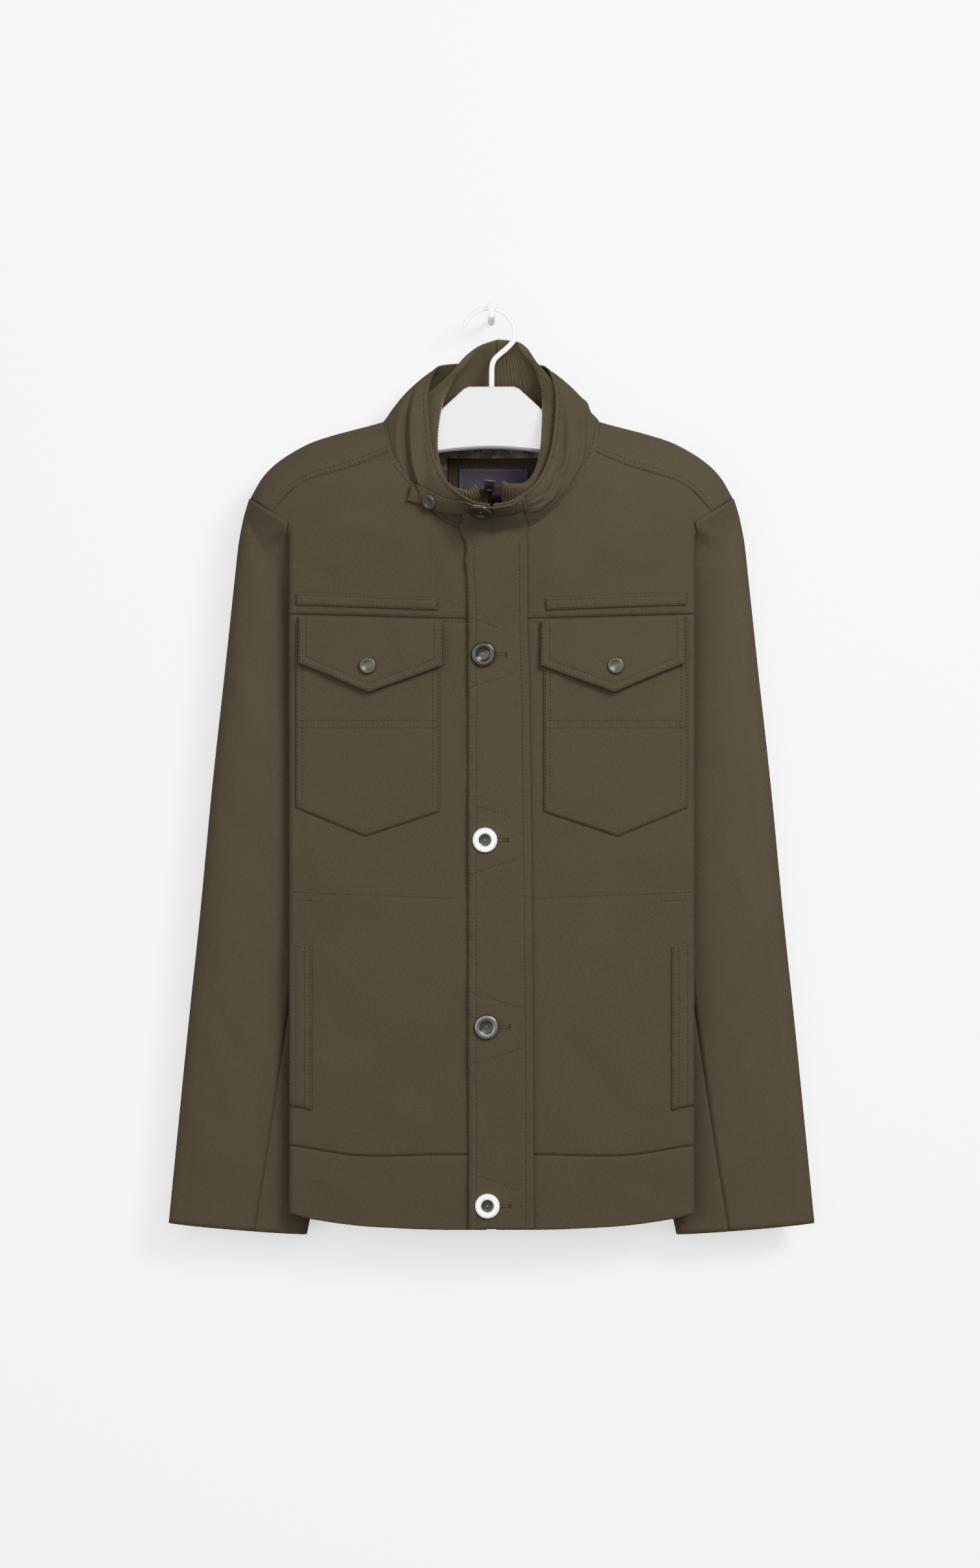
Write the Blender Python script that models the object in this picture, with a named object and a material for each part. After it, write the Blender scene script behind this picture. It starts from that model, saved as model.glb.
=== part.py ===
"""Field parka hung on a flat hanger and a wall peg.

Tables and sizes are in millimetres and become metres when a mesh is made.
+X is the wearer's left, -Y faces the viewer, +Z is up, and the origin is the
centre of the peg's back face on the wall.
"""

import math
from bisect import bisect_right
from collections import namedtuple

import bmesh
import bpy
from mathutils import Matrix, Vector

MM = 0.001

# Driving dimensions
CLOTH = 1.2                 # one layer of shell cloth
DOUBLE = 2.0                # turned or faced cloth
KNIT = 4.0                  # folded rib
SEAM_GAP = 0.2              # each panel stops this far from its seam line
LAYER_GAP = 0.5             # air under a piece that lies on a panel
HANGER_Y = -44.0            # plane of the hanger, the shoulder ridge and the sleeves' outer edges
ROUND_OVER = 70.0           # height over which the shoulder rounds from its ridge to full depth
FRONT_FOLD_X = 182.0        # visible half width of the front, where the side folds back
BACK_FOLD_X = 160.0
FOLD_RADIUS = 5.0
SIDE_SEAM = Vector((98.0, -43.0))   # bottom of the side tuck, x and y
SHOULDER_END_Z = -166.6
YOKE_END_Z = -180.3
UNDERARM_Z = -392.0
ZIP_HALF = 3.4              # half width of a closed zip
FRONT_EDGE_X = 4.0          # centre front edge of each front panel
ARC = math.pi * FOLD_RADIUS

# Curves seen from the front: distance from the centre, then height
Point = namedtuple("Point", "x z")
SHOULDER = [Point(0, -66), Point(98, -96.6), Point(160, -114), Point(181.6, -125),
            Point(197, -136), Point(208, -148), Point(218.6, SHOULDER_END_Z)]
NECK_FRONT = [Point(0, -200), Point(32, -194.5), Point(55, -179), Point(75.7, -153),
              Point(92.5, -126.7), Point(98, -96.6)]
NECK_BACK = [Point(0, -112), Point(50, -109.5), Point(85, -102), Point(98, -96.6)]
YOKE_SEAM = [Point(92.5, -126.7), Point(121, -139), Point(164.7, -152), Point(180, -161),
             Point(197.5, YOKE_END_Z)]
YOKE_RIDGE_X = [111, 125, 140, 155, 170.7, 186.6, 202.5]    # yoke columns on the ridge
YOKE_SEAM_X = [101, 110, 130, 150, 165, 177, 187]           # and where they meet the yoke seam
CHEST_SEAM = [Point(0, -277.5), Point(FRONT_FOLD_X, -272)]
HEM_SEAM = [Point(0, -756), Point(37, -756), Point(108, -757.5), Point(FRONT_FOLD_X, -748)]
HEM = [Point(0, -823), Point(40, -823), Point(105, -820.7), Point(166, -813), Point(FRONT_FOLD_X, -807.7)]
HEM_SEAM_BACK = [Point(0, -752), Point(BACK_FOLD_X, -748)]
HEM_BACK = [Point(0, -812), Point(BACK_FOLD_X, -806)]

# Depth of the front and back by height: at the centre, and how far the edge draws in
Depth = namedtuple("Depth", "z centre edge")
FRONT_DEPTH = [Depth(-830, -77, 5), Depth(-760, -78, 6), Depth(-600, -80, 7), Depth(-400, -82, 8),
               Depth(-280, -86, 11), Depth(-200, -92, 16), Depth(-95, -88, 16)]
BACK_DEPTH = [Depth(-830, -10, -4), Depth(-300, -9, -5), Depth(-95, -12, -4)]

# Cloth past the fold line by height: down the side tuck below the underarm, to the armhole above it
Lap = namedtuple("Lap", "z length")
FRONT_LAP = [Lap(-830, 94.7), Lap(-402, 94.7), Lap(UNDERARM_Z, 82.7), Lap(-350, 72.7), Lap(-300, 59.7),
             Lap(-250, 42.7), Lap(-230, 32.7), Lap(-210, 19), Lap(-200, 11), Lap(-190, 6), Lap(-185, 13),
             Lap(YOKE_END_Z, 20.5), Lap(SHOULDER_END_Z, 41.6)]
BACK_LAP = [Lap(-830, 72.7), Lap(-402, 72.7), Lap(UNDERARM_Z, 61.7), Lap(-350, 50.7), Lap(-300, 37.7),
            Lap(-250, 22), Lap(-230, 15), Lap(-218, 12), Lap(-205, 22), Lap(-190, 36), Lap(-178, 48),
            Lap(SHOULDER_END_Z, 63.6)]
FRONT_FOLD_TOP = -188.0     # above this the front lies flat out to the armhole
BACK_FOLD_TOP = -213.0
FOLD_FADE = 17.0

# Sleeve rings from shoulder to cuff: outer and inner edge seen from the front, half depth, fullness
Ring = namedtuple("Ring", "outer_x outer_z inner_x inner_z depth taper")
SLEEVE_RINGS = [
    Ring(223.0, -182, 109, -398, 15, 2.0), Ring(227.5, -205, 108, -405, 16, 2.0),
    Ring(232.5, -250, 107, -418, 17, 1.9), Ring(240.5, -325, 107, -440, 18, 1.7),
    Ring(252.0, -430, 111, -490, 18, 1.4), Ring(262.5, -540, 122, -575, 17, 1.1),
    Ring(273.0, -640, 136, -662, 16, 0.9), Ring(282.5, -735, 152, -750, 14, 0.7),
    Ring(291.0, -821, 168, -831, 12, 0.5)]
SLEEVE_Y = -43.5
ARMHOLE_CLEAR = 2.6         # the sleeve starts up to this far behind the tucked front
ARMHOLE_TAPER = 9.0         # and closer again towards the underarm
SLEEVE_SEAM = 0.63          # both sleeve seams, as a part of the way from outer to inner edge
SLEEVE_SEAM_GAP = 0.0015    # each sleeve piece stops this part short of the seam

# Stand collar from centre front to centre back: neck seam is measured, top edge is given
Edge = namedtuple("Edge", "station x y z")
COLLAR_TOP = [Edge(0, 0, -127, -179.5), Edge(1, 14, -125, -177), Edge(2, 27, -118, -169.5),
              Edge(3, 42, -103, -153), Edge(4, 54, -80, -118), Edge(5, 57.5, -58, -77),
              Edge(6, 48, -35, -44.5), Edge(7, 25, -23, -41), Edge(8, 0, -22, -41)]
COLLAR_BASE_X = [Edge(0, 0, 0, 0), Edge(1, 16, 0, 0), Edge(2, 36, 0, 0), Edge(3, 58, 0, 0),
                 Edge(4, 80, 0, 0), Edge(5, 94, 0, 0), Edge(6, 98, 0, 0)]
COLLAR_BACK_X = [Edge(6, 98, 0, 0), Edge(7, 55, 0, 0), Edge(8, 0, 0, 0)]
Bulge = namedtuple("Bulge", "station rise")
COLLAR_BULGE = [Bulge(0, -2.0), Bulge(1.5, -1.0), Bulge(3, 4.0), Bulge(8, 4.0)]
COLLAR_LIFT = 1.3           # the collar starts this far up from the neck seam
CENTRE_BACK = 7.9

# Top edge of the knit collar on each side, same stations
RIB_TOP_LEFT = [Edge(0, 7, -104, -157), Edge(1, 16, -104, -162), Edge(2, 28, -99, -161),
                Edge(3, 40, -90, -150), Edge(4, 47, -72, -117), Edge(5, 48, -52, -78),
                Edge(6, 38.5, -40, -43), Edge(7, 26, -33, -26), Edge(8, 5, -29, -23)]
RIB_TOP_RIGHT = [Edge(0, 10, -103, -160), Edge(1, 20, -103, -168), Edge(2, 33, -98, -165),
                 Edge(3, 45, -87, -153), Edge(4, 50.5, -69, -121), Edge(5, 46.5, -53, -82),
                 Edge(6, 35, -38, -54), Edge(7, 15, -31, -30), Edge(8, -5, -29, -23)]
RIB_END = 0.35              # station where the knit stops beside its zip
RIB_INSET = 3.8             # knit inside the stand collar's outer face at the neck seam
RIB_FRONT_INSET = 5.0       # and further in at the centre front, behind the zip
RIB_START = 0.1             # the knit starts this part of the way up the stand collar

# Throat tab from the fly to its free end, lower and upper edge: station on the collar (minus on the
# wearer's right), part of the way up it and height above it
Tab = namedtuple("Tab", "along station part lift")
TAB_LOWER = [Tab(0, 1.9, 0.34, 3.2), Tab(1, 0.98, 0.38, 3.2), Tab(2, 0.24, 0.44, 3.2),
             Tab(3, -0.5, 0.5, 3.2), Tab(4, -1.42, 0.53, 3.2), Tab(5, -2.12, 0.35, 3.2),
             Tab(6, -2.72, 0.09, 3.4), Tab(7, -3.1, -0.07, 6.5), Tab(8, -3.37, -0.28, 10.2)]
TAB_UPPER = [Tab(0, 2.0, 1.0, 3.2), Tab(1, 1.2, 1.0, 3.2), Tab(2, 0.4, 1.0, 3.2),
             Tab(3, -0.5, 1.0, 3.2), Tab(4, -1.5, 0.96, 3.2), Tab(5, -2.3, 0.75, 3.2),
             Tab(6, -2.96, 0.53, 3.2), Tab(7, -3.33, 0.29, 3.5), Tab(8, -3.55, 0.085, 5.1)]
TAB_COLUMNS = 17
TAB_SNAP = (6.15, 0.45)     # along the tab and across it
TAB_BUTTON = (3.15, 0.7)

# Pieces on the fronts, seen from the front, inner edge first
Corner = namedtuple("Corner", "x top bottom")
POCKET = [Corner(46.4, -284, -448.5), Corner(80, -283, -459.6), Corner(113, -282, -470.6),
          Corner(145, -281, -457.4), Corner(175.5, -280, -445)]
FLAP = [Corner(44, -278.4, -318), Corner(76, -277.5, -330), Corner(109.6, -276.4, -342),
        Corner(141, -275.4, -328.5), Corner(173, -274.4, -315.5)]
WELT = [Corner(48, -258.5, -268.8), Corner(90, -256.8, -267.1), Corner(132, -255, -265.4),
        Corner(175, -253.3, -263.7)]
HAND_WELT = [Corner(161, -570, -715.7), Corner(170, -568, -714), Corner(177, -566.5, -712.6),
             Corner(181, -565.5, -712)]
FLAP_KICK = 3.0             # how far the flap's point stands off
SNAP_PLACE = Point(110.6, -318.5)

# Placket edges by height
Strip = namedtuple("Strip", "z left right")
PLACKET = [Strip(-822, -20.5, 38), Strip(-640, -21, 37), Strip(-480, -21, 35.5), Strip(-330, -21, 33.5),
           Strip(-275, -21, 32), Strip(-237, -22.3, 31.8), Strip(-217, -24.2, 31.6),
           Strip(-212, -21.8, 31.6), Strip(-207, -24.0, 31.2), Strip(-201.5, -28.5, 30.8)]
BUTTON_PLACES = [Point(-7.4, -308.4), Point(-6.0, -474), Point(-4.6, -641), Point(-3.8, -801)]

# Hanger outline, right half, from the middle of the top round to the middle of the bottom
HANGER_TOP = -65.0
HANGER_NECK = [Point(0, HANGER_TOP), Point(20.5, HANGER_TOP), Point(25, -67), Point(48, -88),
               Point(62, -99), Point(80, -105), Point(118, -106.5)]
HANGER_ARM_X = [140, 160, 170, 181.6, 190]
HANGER_SEAT = 2.4           # cloth and clearance between shoulder line and hanger
HANGER_LOWER = [Point(194, -139), Point(192, -148), Point(160, -147), Point(110, -138), Point(55, -126.5),
                Point(0, -121)]
HANGER_THICK = 9.0
WIRE = 2.2
HOOK_CENTRE = Point(-2.5, -17.4)
HOOK_RADIUS = 23.5
PEG_RADIUS = 3.4
PEG_LENGTH = 54.0
KNOB_RADIUS = 4.4
KNOB_RISE = 6.8
KNOB_THICK = 6.5


# Colour, roughness and metallic of each finish
Finish = namedtuple("Finish", "colour roughness metallic")
FINISHES = {
    "shell": Finish((0.088, 0.073, 0.045), 0.85, 0.0),
    "rib": Finish((0.075, 0.064, 0.036), 0.95, 0.0),
    "lining": Finish((0.040, 0.034, 0.026), 0.60, 0.0),
    "facing": Finish((0.016, 0.012, 0.009), 0.75, 0.0),
    "label": Finish((0.040, 0.037, 0.068), 0.65, 0.0),
    "button": Finish((0.040, 0.038, 0.018), 0.22, 0.0),
    "snap": Finish((0.075, 0.070, 0.045), 0.35, 0.2),
    "metal": Finish((0.10, 0.10, 0.09), 0.28, 1.0),
    "tape": Finish((0.045, 0.040, 0.026), 0.85, 0.0),
    "white": Finish((0.82, 0.82, 0.80), 0.35, 0.0),
}


def clear_scene():
    for item in list(bpy.data.objects):
        bpy.data.objects.remove(item, do_unlink=True)


def finish_material(kind):
    material = bpy.data.materials.get(kind)
    if material:
        return material
    look = FINISHES[kind]
    material = bpy.data.materials.new(kind)
    material.use_nodes = True
    shader = material.node_tree.nodes["Principled BSDF"]
    shader.inputs["Base Color"].default_value = (*look.colour, 1.0)
    shader.inputs["Roughness"].default_value = look.roughness
    shader.inputs["Metallic"].default_value = look.metallic
    return material


def through(rows, at, column):
    """Smooth value of a table's column at a key in its first column, without overshoot."""
    rows = sorted(rows)
    keys = [row[0] for row in rows]
    values = [getattr(row, column) for row in rows]
    if at <= keys[0]:
        return values[0]
    if at >= keys[-1]:
        return values[-1]
    rise = [(values[k + 1] - values[k]) / (keys[k + 1] - keys[k]) for k in range(len(keys) - 1)]

    def tangent(k):
        if k == 0:
            return rise[0]
        if k == len(keys) - 1:
            return rise[-1]
        before, after = rise[k - 1], rise[k]
        return 2 * before * after / (before + after) if before * after > 0 else 0.0

    k = bisect_right(keys, at) - 1
    span = keys[k + 1] - keys[k]
    t = (at - keys[k]) / span
    bend = tangent(k) * t * (1 - t) ** 2 - tangent(k + 1) * t * t * (1 - t)
    return values[k] * (1 + 2 * t) * (1 - t) ** 2 + values[k + 1] * t * t * (3 - 2 * t) + bend * span


def lerp(start, end, part):
    return start + (end - start) * part


def smooth_step(value):
    value = min(max(value, 0.0), 1.0)
    return value * value * (3 - 2 * value)


# Surfaces of the body

def ridge_share(x, z):
    """Nought on the shoulder ridge, rising to one where the shoulder has rounded over."""
    drop = min(max((through(SHOULDER, abs(x), "z") - z) / ROUND_OVER, 0.0), 1.0)
    return math.sqrt(1 - (1 - drop) ** 2)


def front_y(x, z):
    edge = through(FRONT_DEPTH, z, "edge") * (x / FRONT_FOLD_X) ** 2
    full = through(FRONT_DEPTH, z, "centre") + edge
    return lerp(HANGER_Y - SEAM_GAP, full, ridge_share(x, z))


def back_y(x, z):
    edge = through(BACK_DEPTH, z, "edge") * (x / BACK_FOLD_X) ** 2
    full = through(BACK_DEPTH, z, "centre") + edge
    return lerp(HANGER_Y + SEAM_GAP, full, ridge_share(x, z))


def folded(lap_from, depth_at, fold_top, forward, p, z, lift):
    """Point p along the cloth from the centre: flat, then round the fold and down the side tuck."""
    past = p - lap_from
    if past <= 0:
        return Vector((p, depth_at(p, z) + forward * lift, z))
    bend = max(smooth_step((fold_top - z) / FOLD_FADE) / FOLD_RADIUS, 0.0001)
    angle = min(bend * past, math.pi)
    x = lap_from + math.sin(angle) * (1 / bend + lift)
    y = depth_at(x, z) - forward * (1 - math.cos(angle)) / bend + forward * lift * math.cos(angle)
    left_over = past - math.pi / bend
    if left_over > 0:
        start = Vector((lap_from, depth_at(lap_from, z) - forward * 2 * FOLD_RADIUS))
        seam = SIDE_SEAM + Vector((0, forward * SEAM_GAP))
        place = start.lerp(seam, left_over / (lap_from - SIDE_SEAM.x))
        x, y = place
    return Vector((x, y, z))


def front_point(p, z, lift=0.0):
    return folded(FRONT_FOLD_X - FOLD_RADIUS, front_y, FRONT_FOLD_TOP, -1, p, z, lift)


def back_point(p, z, lift=0.0):
    return folded(BACK_FOLD_X - FOLD_RADIUS, back_y, BACK_FOLD_TOP, 1, p, z, lift)


def lap_stops(length):
    """Stations past the fold line: four round the bend, then three along the rest."""
    bend = [min(step * ARC / 4, step * length / 7) for step in range(1, 5)]
    return bend + [lerp(bend[-1], length, part / 3) for part in (1, 2, 3)]


def mirrored(grid, side):
    return [[Vector((side * point.x, point.y, point.z)) for point in row] for row in grid]


# Mesh makers

def add_object(name, mesh, kind):
    item = bpy.data.objects.new(name, mesh)
    bpy.context.scene.collection.objects.link(item)
    mesh.materials.append(finish_material(kind))
    return item


def wall(name, grid, thickness, kind, flip=False):
    """A cloth wall: the grid is its outer face, and its thickness goes inwards."""
    shell = bmesh.new()
    rows = [[shell.verts.new(point * MM) for point in row] for row in grid]
    for lower, upper in zip(rows, rows[1:]):
        for k in range(len(lower) - 1):
            corners = [lower[k], lower[k + 1], upper[k + 1], upper[k]]
            shell.faces.new(corners[::-1] if flip else corners)
    mesh = bpy.data.meshes.new(name)
    shell.to_mesh(mesh)
    shell.free()
    mesh.shade_smooth()
    item = add_object(name, mesh, kind)
    solid = item.modifiers.new("wall", "SOLIDIFY")
    solid.thickness = thickness * MM
    solid.offset = -1.0
    solid.use_rim = True
    return item


def turned(name, profile, sides, kind, place, facing):
    """A round piece: profile pairs of radius and height, spun about its axis, then faced."""
    form = bmesh.new()
    points = [form.verts.new((radius * MM, 0, height * MM)) for radius, height in profile]
    edges = [form.edges.new(pair) for pair in zip(points, points[1:])]
    bmesh.ops.spin(form, geom=points + edges, cent=(0, 0, 0), axis=(0, 0, 1), angle=math.tau,
                   steps=sides, use_merge=True)
    bmesh.ops.remove_doubles(form, verts=form.verts, dist=0.00001)
    bmesh.ops.recalc_face_normals(form, faces=form.faces)
    mesh = bpy.data.meshes.new(name)
    form.to_mesh(mesh)
    form.free()
    mesh.shade_smooth()
    item = add_object(name, mesh, kind)
    turn = facing.to_track_quat("Z", "Y").to_matrix().to_4x4()
    item.matrix_world = Matrix.Translation(place * MM) @ turn
    return item


# Shell panels

FRONT_COLUMNS = [FRONT_EDGE_X, 20, 37, 55, 75.7, 92.5, 110, 130, 150, 165, FRONT_FOLD_X - FOLD_RADIUS]


def front_grid(bottom, top, end_bottom, end_top, parts):
    """Rows from a lower to an upper seam, out to the side seam or armhole."""
    fold = FRONT_FOLD_X - FOLD_RADIUS
    grid = []
    for part in parts:
        row = [front_point(p, lerp(bottom(p), top(p), part)) for p in FRONT_COLUMNS]
        fold_z = lerp(bottom(fold), top(fold), part)
        end_z = lerp(end_bottom, end_top, part)
        length = through(FRONT_LAP, end_z, "length") - SEAM_GAP
        for stop in lap_stops(length):
            row.append(front_point(fold + stop, lerp(fold_z, end_z, stop / length)))
        grid.append(row)
    return grid


def seam_height(curve, x, step):
    return through(curve, x, "z") + step


def chest_top(p):
    curve = NECK_FRONT if p < YOKE_SEAM[0].x else YOKE_SEAM
    return seam_height(curve, p, -SEAM_GAP)


def make_fronts():
    chest_rows = [0, 0.2, 0.4, 0.62, 0.785, 0.894, 1]
    skirt_rows = [0, 0.15, 0.3, 0.45, 0.6, 0.7, 0.727, 0.748, 0.8, 0.86, 0.93, 1]
    hem_rows = [0, 0.5, 1]
    chest_end, hem_end, skirt_end = CHEST_SEAM[-1].z, HEM[-1].z, HEM_SEAM[-1].z
    chest = front_grid(lambda p: seam_height(CHEST_SEAM, p, SEAM_GAP), chest_top,
                       chest_end + SEAM_GAP, YOKE_END_Z - SEAM_GAP, chest_rows)
    skirt = front_grid(lambda p: seam_height(HEM_SEAM, p, SEAM_GAP),
                       lambda p: seam_height(CHEST_SEAM, p, -SEAM_GAP),
                       skirt_end + SEAM_GAP, chest_end - SEAM_GAP, skirt_rows)
    hem = front_grid(lambda p: through(HEM, p, "z"), lambda p: seam_height(HEM_SEAM, p, -SEAM_GAP),
                     hem_end, skirt_end - SEAM_GAP, hem_rows)
    for side, word in ((1, "left"), (-1, "right")):
        wall("chest_" + word, mirrored(chest, side), CLOTH, "shell", side < 0)
        wall("skirt_" + word, mirrored(skirt, side), CLOTH, "shell", side < 0)
        wall("hem_" + word, mirrored(hem, side), CLOTH, "shell", side < 0)


def make_yokes():
    """Shoulder saddles, from the yoke seam up to the shoulder ridge."""
    ridge = [NECK_FRONT[-1].x + SEAM_GAP, *YOKE_RIDGE_X, SHOULDER[-1].x - SEAM_GAP]
    seam = [YOKE_SEAM[0].x + SEAM_GAP, *YOKE_SEAM_X, YOKE_SEAM[-1].x - SEAM_GAP]
    rows = [1, 0.7, 0.4, 0.18, 0.07, 0.017, 0]
    grid = []
    for part in rows:
        row = []
        for top_x, low_x in zip(ridge, seam):
            x = lerp(top_x, low_x, part)
            z = lerp(seam_height(SHOULDER, top_x, 0), seam_height(YOKE_SEAM, low_x, SEAM_GAP), part)
            z = min(z, seam_height(SHOULDER, x, 0))
            row.append(front_point(x, z))
        grid.append(row)
    for side, word in ((1, "left"), (-1, "right")):
        wall("yoke_" + word, mirrored(grid, side), CLOTH, "shell", side < 0)


def back_row(bottom, top, end_bottom, end_top, part):
    """One row across the whole back, from one side to the other."""
    fold = BACK_FOLD_X - FOLD_RADIUS
    columns = [0, 30, 60, 98, 125, fold]
    half = [back_point(p, lerp(bottom(p), top(p), part)) for p in columns]
    length = through(BACK_LAP, lerp(end_bottom, end_top(1), part), "length") - SEAM_GAP
    for stop in lap_stops(length):
        share = stop / length
        low = lerp(bottom(fold), end_bottom, share)
        half.append(back_point(fold + stop, lerp(low, end_top(share), part)))
    other = mirrored([half[:0:-1]], -1)[0]
    return other + half


def back_top(p):
    return seam_height(NECK_BACK, p, -SEAM_GAP) if p < NECK_BACK[-1].x else seam_height(SHOULDER, p, 0)


def back_shoulder(share):
    """Shoulder line from above the fold out to the shoulder's end."""
    return through(SHOULDER, lerp(BACK_FOLD_X - FOLD_RADIUS, SHOULDER[-1].x, share), "z")


def make_back():
    rows = [0, 0.15, 0.3, 0.45, 0.56, 0.598, 0.615, 0.68, 0.77, 0.85, 0.89, 0.912, 0.93, 0.947, 0.965,
            0.981, 0.9915, 0.997, 0.9992, 1]
    seam_end = HEM_SEAM_BACK[-1].z
    panel = [back_row(lambda p: seam_height(HEM_SEAM_BACK, p, SEAM_GAP), back_top,
                      seam_end + SEAM_GAP, back_shoulder, part) for part in rows]
    band = [back_row(lambda p: through(HEM_BACK, p, "z"),
                     lambda p: seam_height(HEM_SEAM_BACK, p, -SEAM_GAP),
                     HEM_BACK[-1].z, lambda share: seam_end - SEAM_GAP, part) for part in (0, 0.5, 1)]
    wall("back_panel", panel, CLOTH, "shell", True)
    wall("hem_back", band, CLOTH, "shell", True)


# Sleeves

def armhole_point(part, point_at, laps, fold_x):
    """Seam point on the body, from the shoulder end down to the underarm."""
    z = lerp(SHOULDER_END_Z, UNDERARM_Z, part)
    return point_at(fold_x - FOLD_RADIUS + through(laps, z, "length"), z)


def ring_point(ring, part, forward):
    """Point of a sleeve section that is rounded outside and thin where it tucks behind the body."""
    peak = 0.5 / (0.5 + ring.taper)
    top = math.sqrt(peak) * (1 - peak) ** ring.taper
    swell = math.sqrt(part) * (1 - part) ** ring.taper / top
    x = lerp(ring.outer_x, ring.inner_x, part)
    z = lerp(ring.outer_z, ring.inner_z, part)
    return Vector((x, SLEEVE_Y + forward * ring.depth * swell, z))


def sleeve_row(ring, stations):
    return [ring_point(ring, abs(part), -1 if part >= 0 else 1) for part in stations]


def armhole_row(stations, first_ring):
    """The sleeve's own edge at the armhole, just clear of the body's edge."""
    row = []
    for part, beyond in zip(stations, first_ring):
        if part >= 0:
            seam = armhole_point(part, front_point, FRONT_LAP, FRONT_FOLD_X)
        else:
            seam = armhole_point(-part, back_point, BACK_LAP, BACK_FOLD_X)
        behind = min(ARMHOLE_CLEAR * min(abs(part) / 0.1, 1), ARMHOLE_TAPER * (1 - abs(part)))
        clear = Vector((0, math.copysign(behind, part), 0))
        row.append(seam + (beyond - seam).normalized() * 2.5 * SEAM_GAP + clear)
    return row


def make_sleeves():
    """Top sleeve round the outer edge, under sleeve round the inner edge; minus is the back face."""
    top_edge, under_edge = SLEEVE_SEAM - SLEEVE_SEAM_GAP, SLEEVE_SEAM + SLEEVE_SEAM_GAP
    top = [top_edge, 0.42, 0.25, 0.21, 0.18, 0.15, 0.12, 0.04, 0.0, -0.04, -0.12, -0.25, -0.42, -top_edge]
    under = [-under_edge, -0.78, -0.92, 1.0, 0.92, 0.78, under_edge]
    for name, stations in (("sleeve_top_", top), ("sleeve_under_", under)):
        rings = [sleeve_row(ring, stations) for ring in SLEEVE_RINGS]
        grid = [armhole_row(stations, rings[0])] + rings
        for side, word in ((1, "left"), (-1, "right")):
            wall(name + word, mirrored(grid, side), CLOTH, "shell", side < 0)


# Pieces on the fronts

def patch_grid(corners, rows, lift_at):
    """A piece laid on the front, from its top edge to its lower edge."""
    grid = []
    for part in reversed(rows):
        grid.append([front_point(c.x, lerp(c.top, c.bottom, part), lift_at(part)) for c in corners])
    return grid


def make_pockets():
    on_panel = LAYER_GAP + CLOTH
    on_pocket = on_panel + LAYER_GAP + DOUBLE
    rows = [0, 0.2, 0.4, 0.7, 1]
    flap_rows = [0, 0.3, 0.65, 1]
    pocket = patch_grid(POCKET, rows, lambda part: on_panel)
    flap = patch_grid(FLAP, flap_rows, lambda part: on_pocket + FLAP_KICK * part * part)
    welt = patch_grid(WELT, [0, 1], lambda part: on_panel)
    hand = patch_grid(HAND_WELT, [0, 0.5, 1], lambda part: on_panel)
    snap_profile = [(0, 2.6), (6.2, 2.6), (7.4, 1.9), (7.5, 0.9), (7, 0), (0, 0)]
    snap_part = (FLAP[2].top - SNAP_PLACE.z) / (FLAP[2].top - FLAP[2].bottom)
    snap_lift = on_pocket + FLAP_KICK * snap_part ** 2 + 1.6 * LAYER_GAP
    for side, word in ((1, "left"), (-1, "right")):
        wall("pocket_" + word, mirrored(pocket, side), CLOTH, "shell", side < 0)
        wall("flap_" + word, mirrored(flap, side), DOUBLE, "shell", side < 0)
        wall("welt_" + word, mirrored(welt, side), CLOTH, "shell", side < 0)
        wall("hand_welt_" + word, mirrored(hand, side), CLOTH, "shell", side < 0)
        seat = front_point(SNAP_PLACE.x, SNAP_PLACE.z, snap_lift)
        turned("snap_" + word, snap_profile, 16, "snap", Vector((side * seat.x, seat.y, seat.z)),
               Vector((0, -1, 0.06)))


PLACKET_LIFT = LAYER_GAP + 0.3 + DOUBLE


def make_placket():
    grid = []
    for strip in PLACKET:
        row = []
        for part in (0, 0.3, 0.6, 1):
            x = lerp(strip.left, strip.right, part)
            row.append(Vector((x, front_y(x, strip.z) - PLACKET_LIFT, strip.z)))
        grid.append(row)
    wall("placket", grid, DOUBLE, "shell")


BUTTON_PROFILE = [(0, 1.6), (6, 1.8), (9, 3.1), (10.5, 2.9), (11, 1.6), (9.5, 0), (0, 0)]


def make_buttons():
    for number, place in enumerate(BUTTON_PLACES, 1):
        seat = Vector((place.x, front_y(place.x, place.z) - PLACKET_LIFT - LAYER_GAP, place.z))
        turned("button_%d" % number, BUTTON_PROFILE, 16, "button", seat, Vector((0, -1, 0)))


# Collar

def collar_base(station):
    """Neck seam of the stand collar, read from the edge of the fronts and the back."""
    place = abs(station)
    sign = 1 if station >= 0 else -1
    if place <= 6:
        x = through(COLLAR_BASE_X, place, "x")
        z = through(NECK_FRONT, x, "z")
        y = front_y(x, z)
    else:
        x = through(COLLAR_BACK_X, place, "x")
        z = through(NECK_BACK, x, "z")
        y = back_y(x, z)
    return Vector((sign * x, y, z))


def edge_point(rows, station, sign):
    place = abs(station)
    x, y, z = (through(rows, place, column) for column in "xyz")
    return Vector((sign * x, y, z))


def collar_point(station, part, lift=0.0):
    sign = 1 if station >= 0 else -1
    base = collar_base(station)
    top = edge_point(COLLAR_TOP, station, sign)
    step = 0.05
    along = collar_base(station + step) + edge_point(COLLAR_TOP, station + step, sign) - base - top
    outward = along.cross(top - base).normalized()
    base = base + (top - base).normalized() * COLLAR_LIFT
    bulge = through(COLLAR_BULGE, abs(station), "rise") * math.sin(math.pi * part)
    return base.lerp(top, part) + outward * (lift + bulge)


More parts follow.
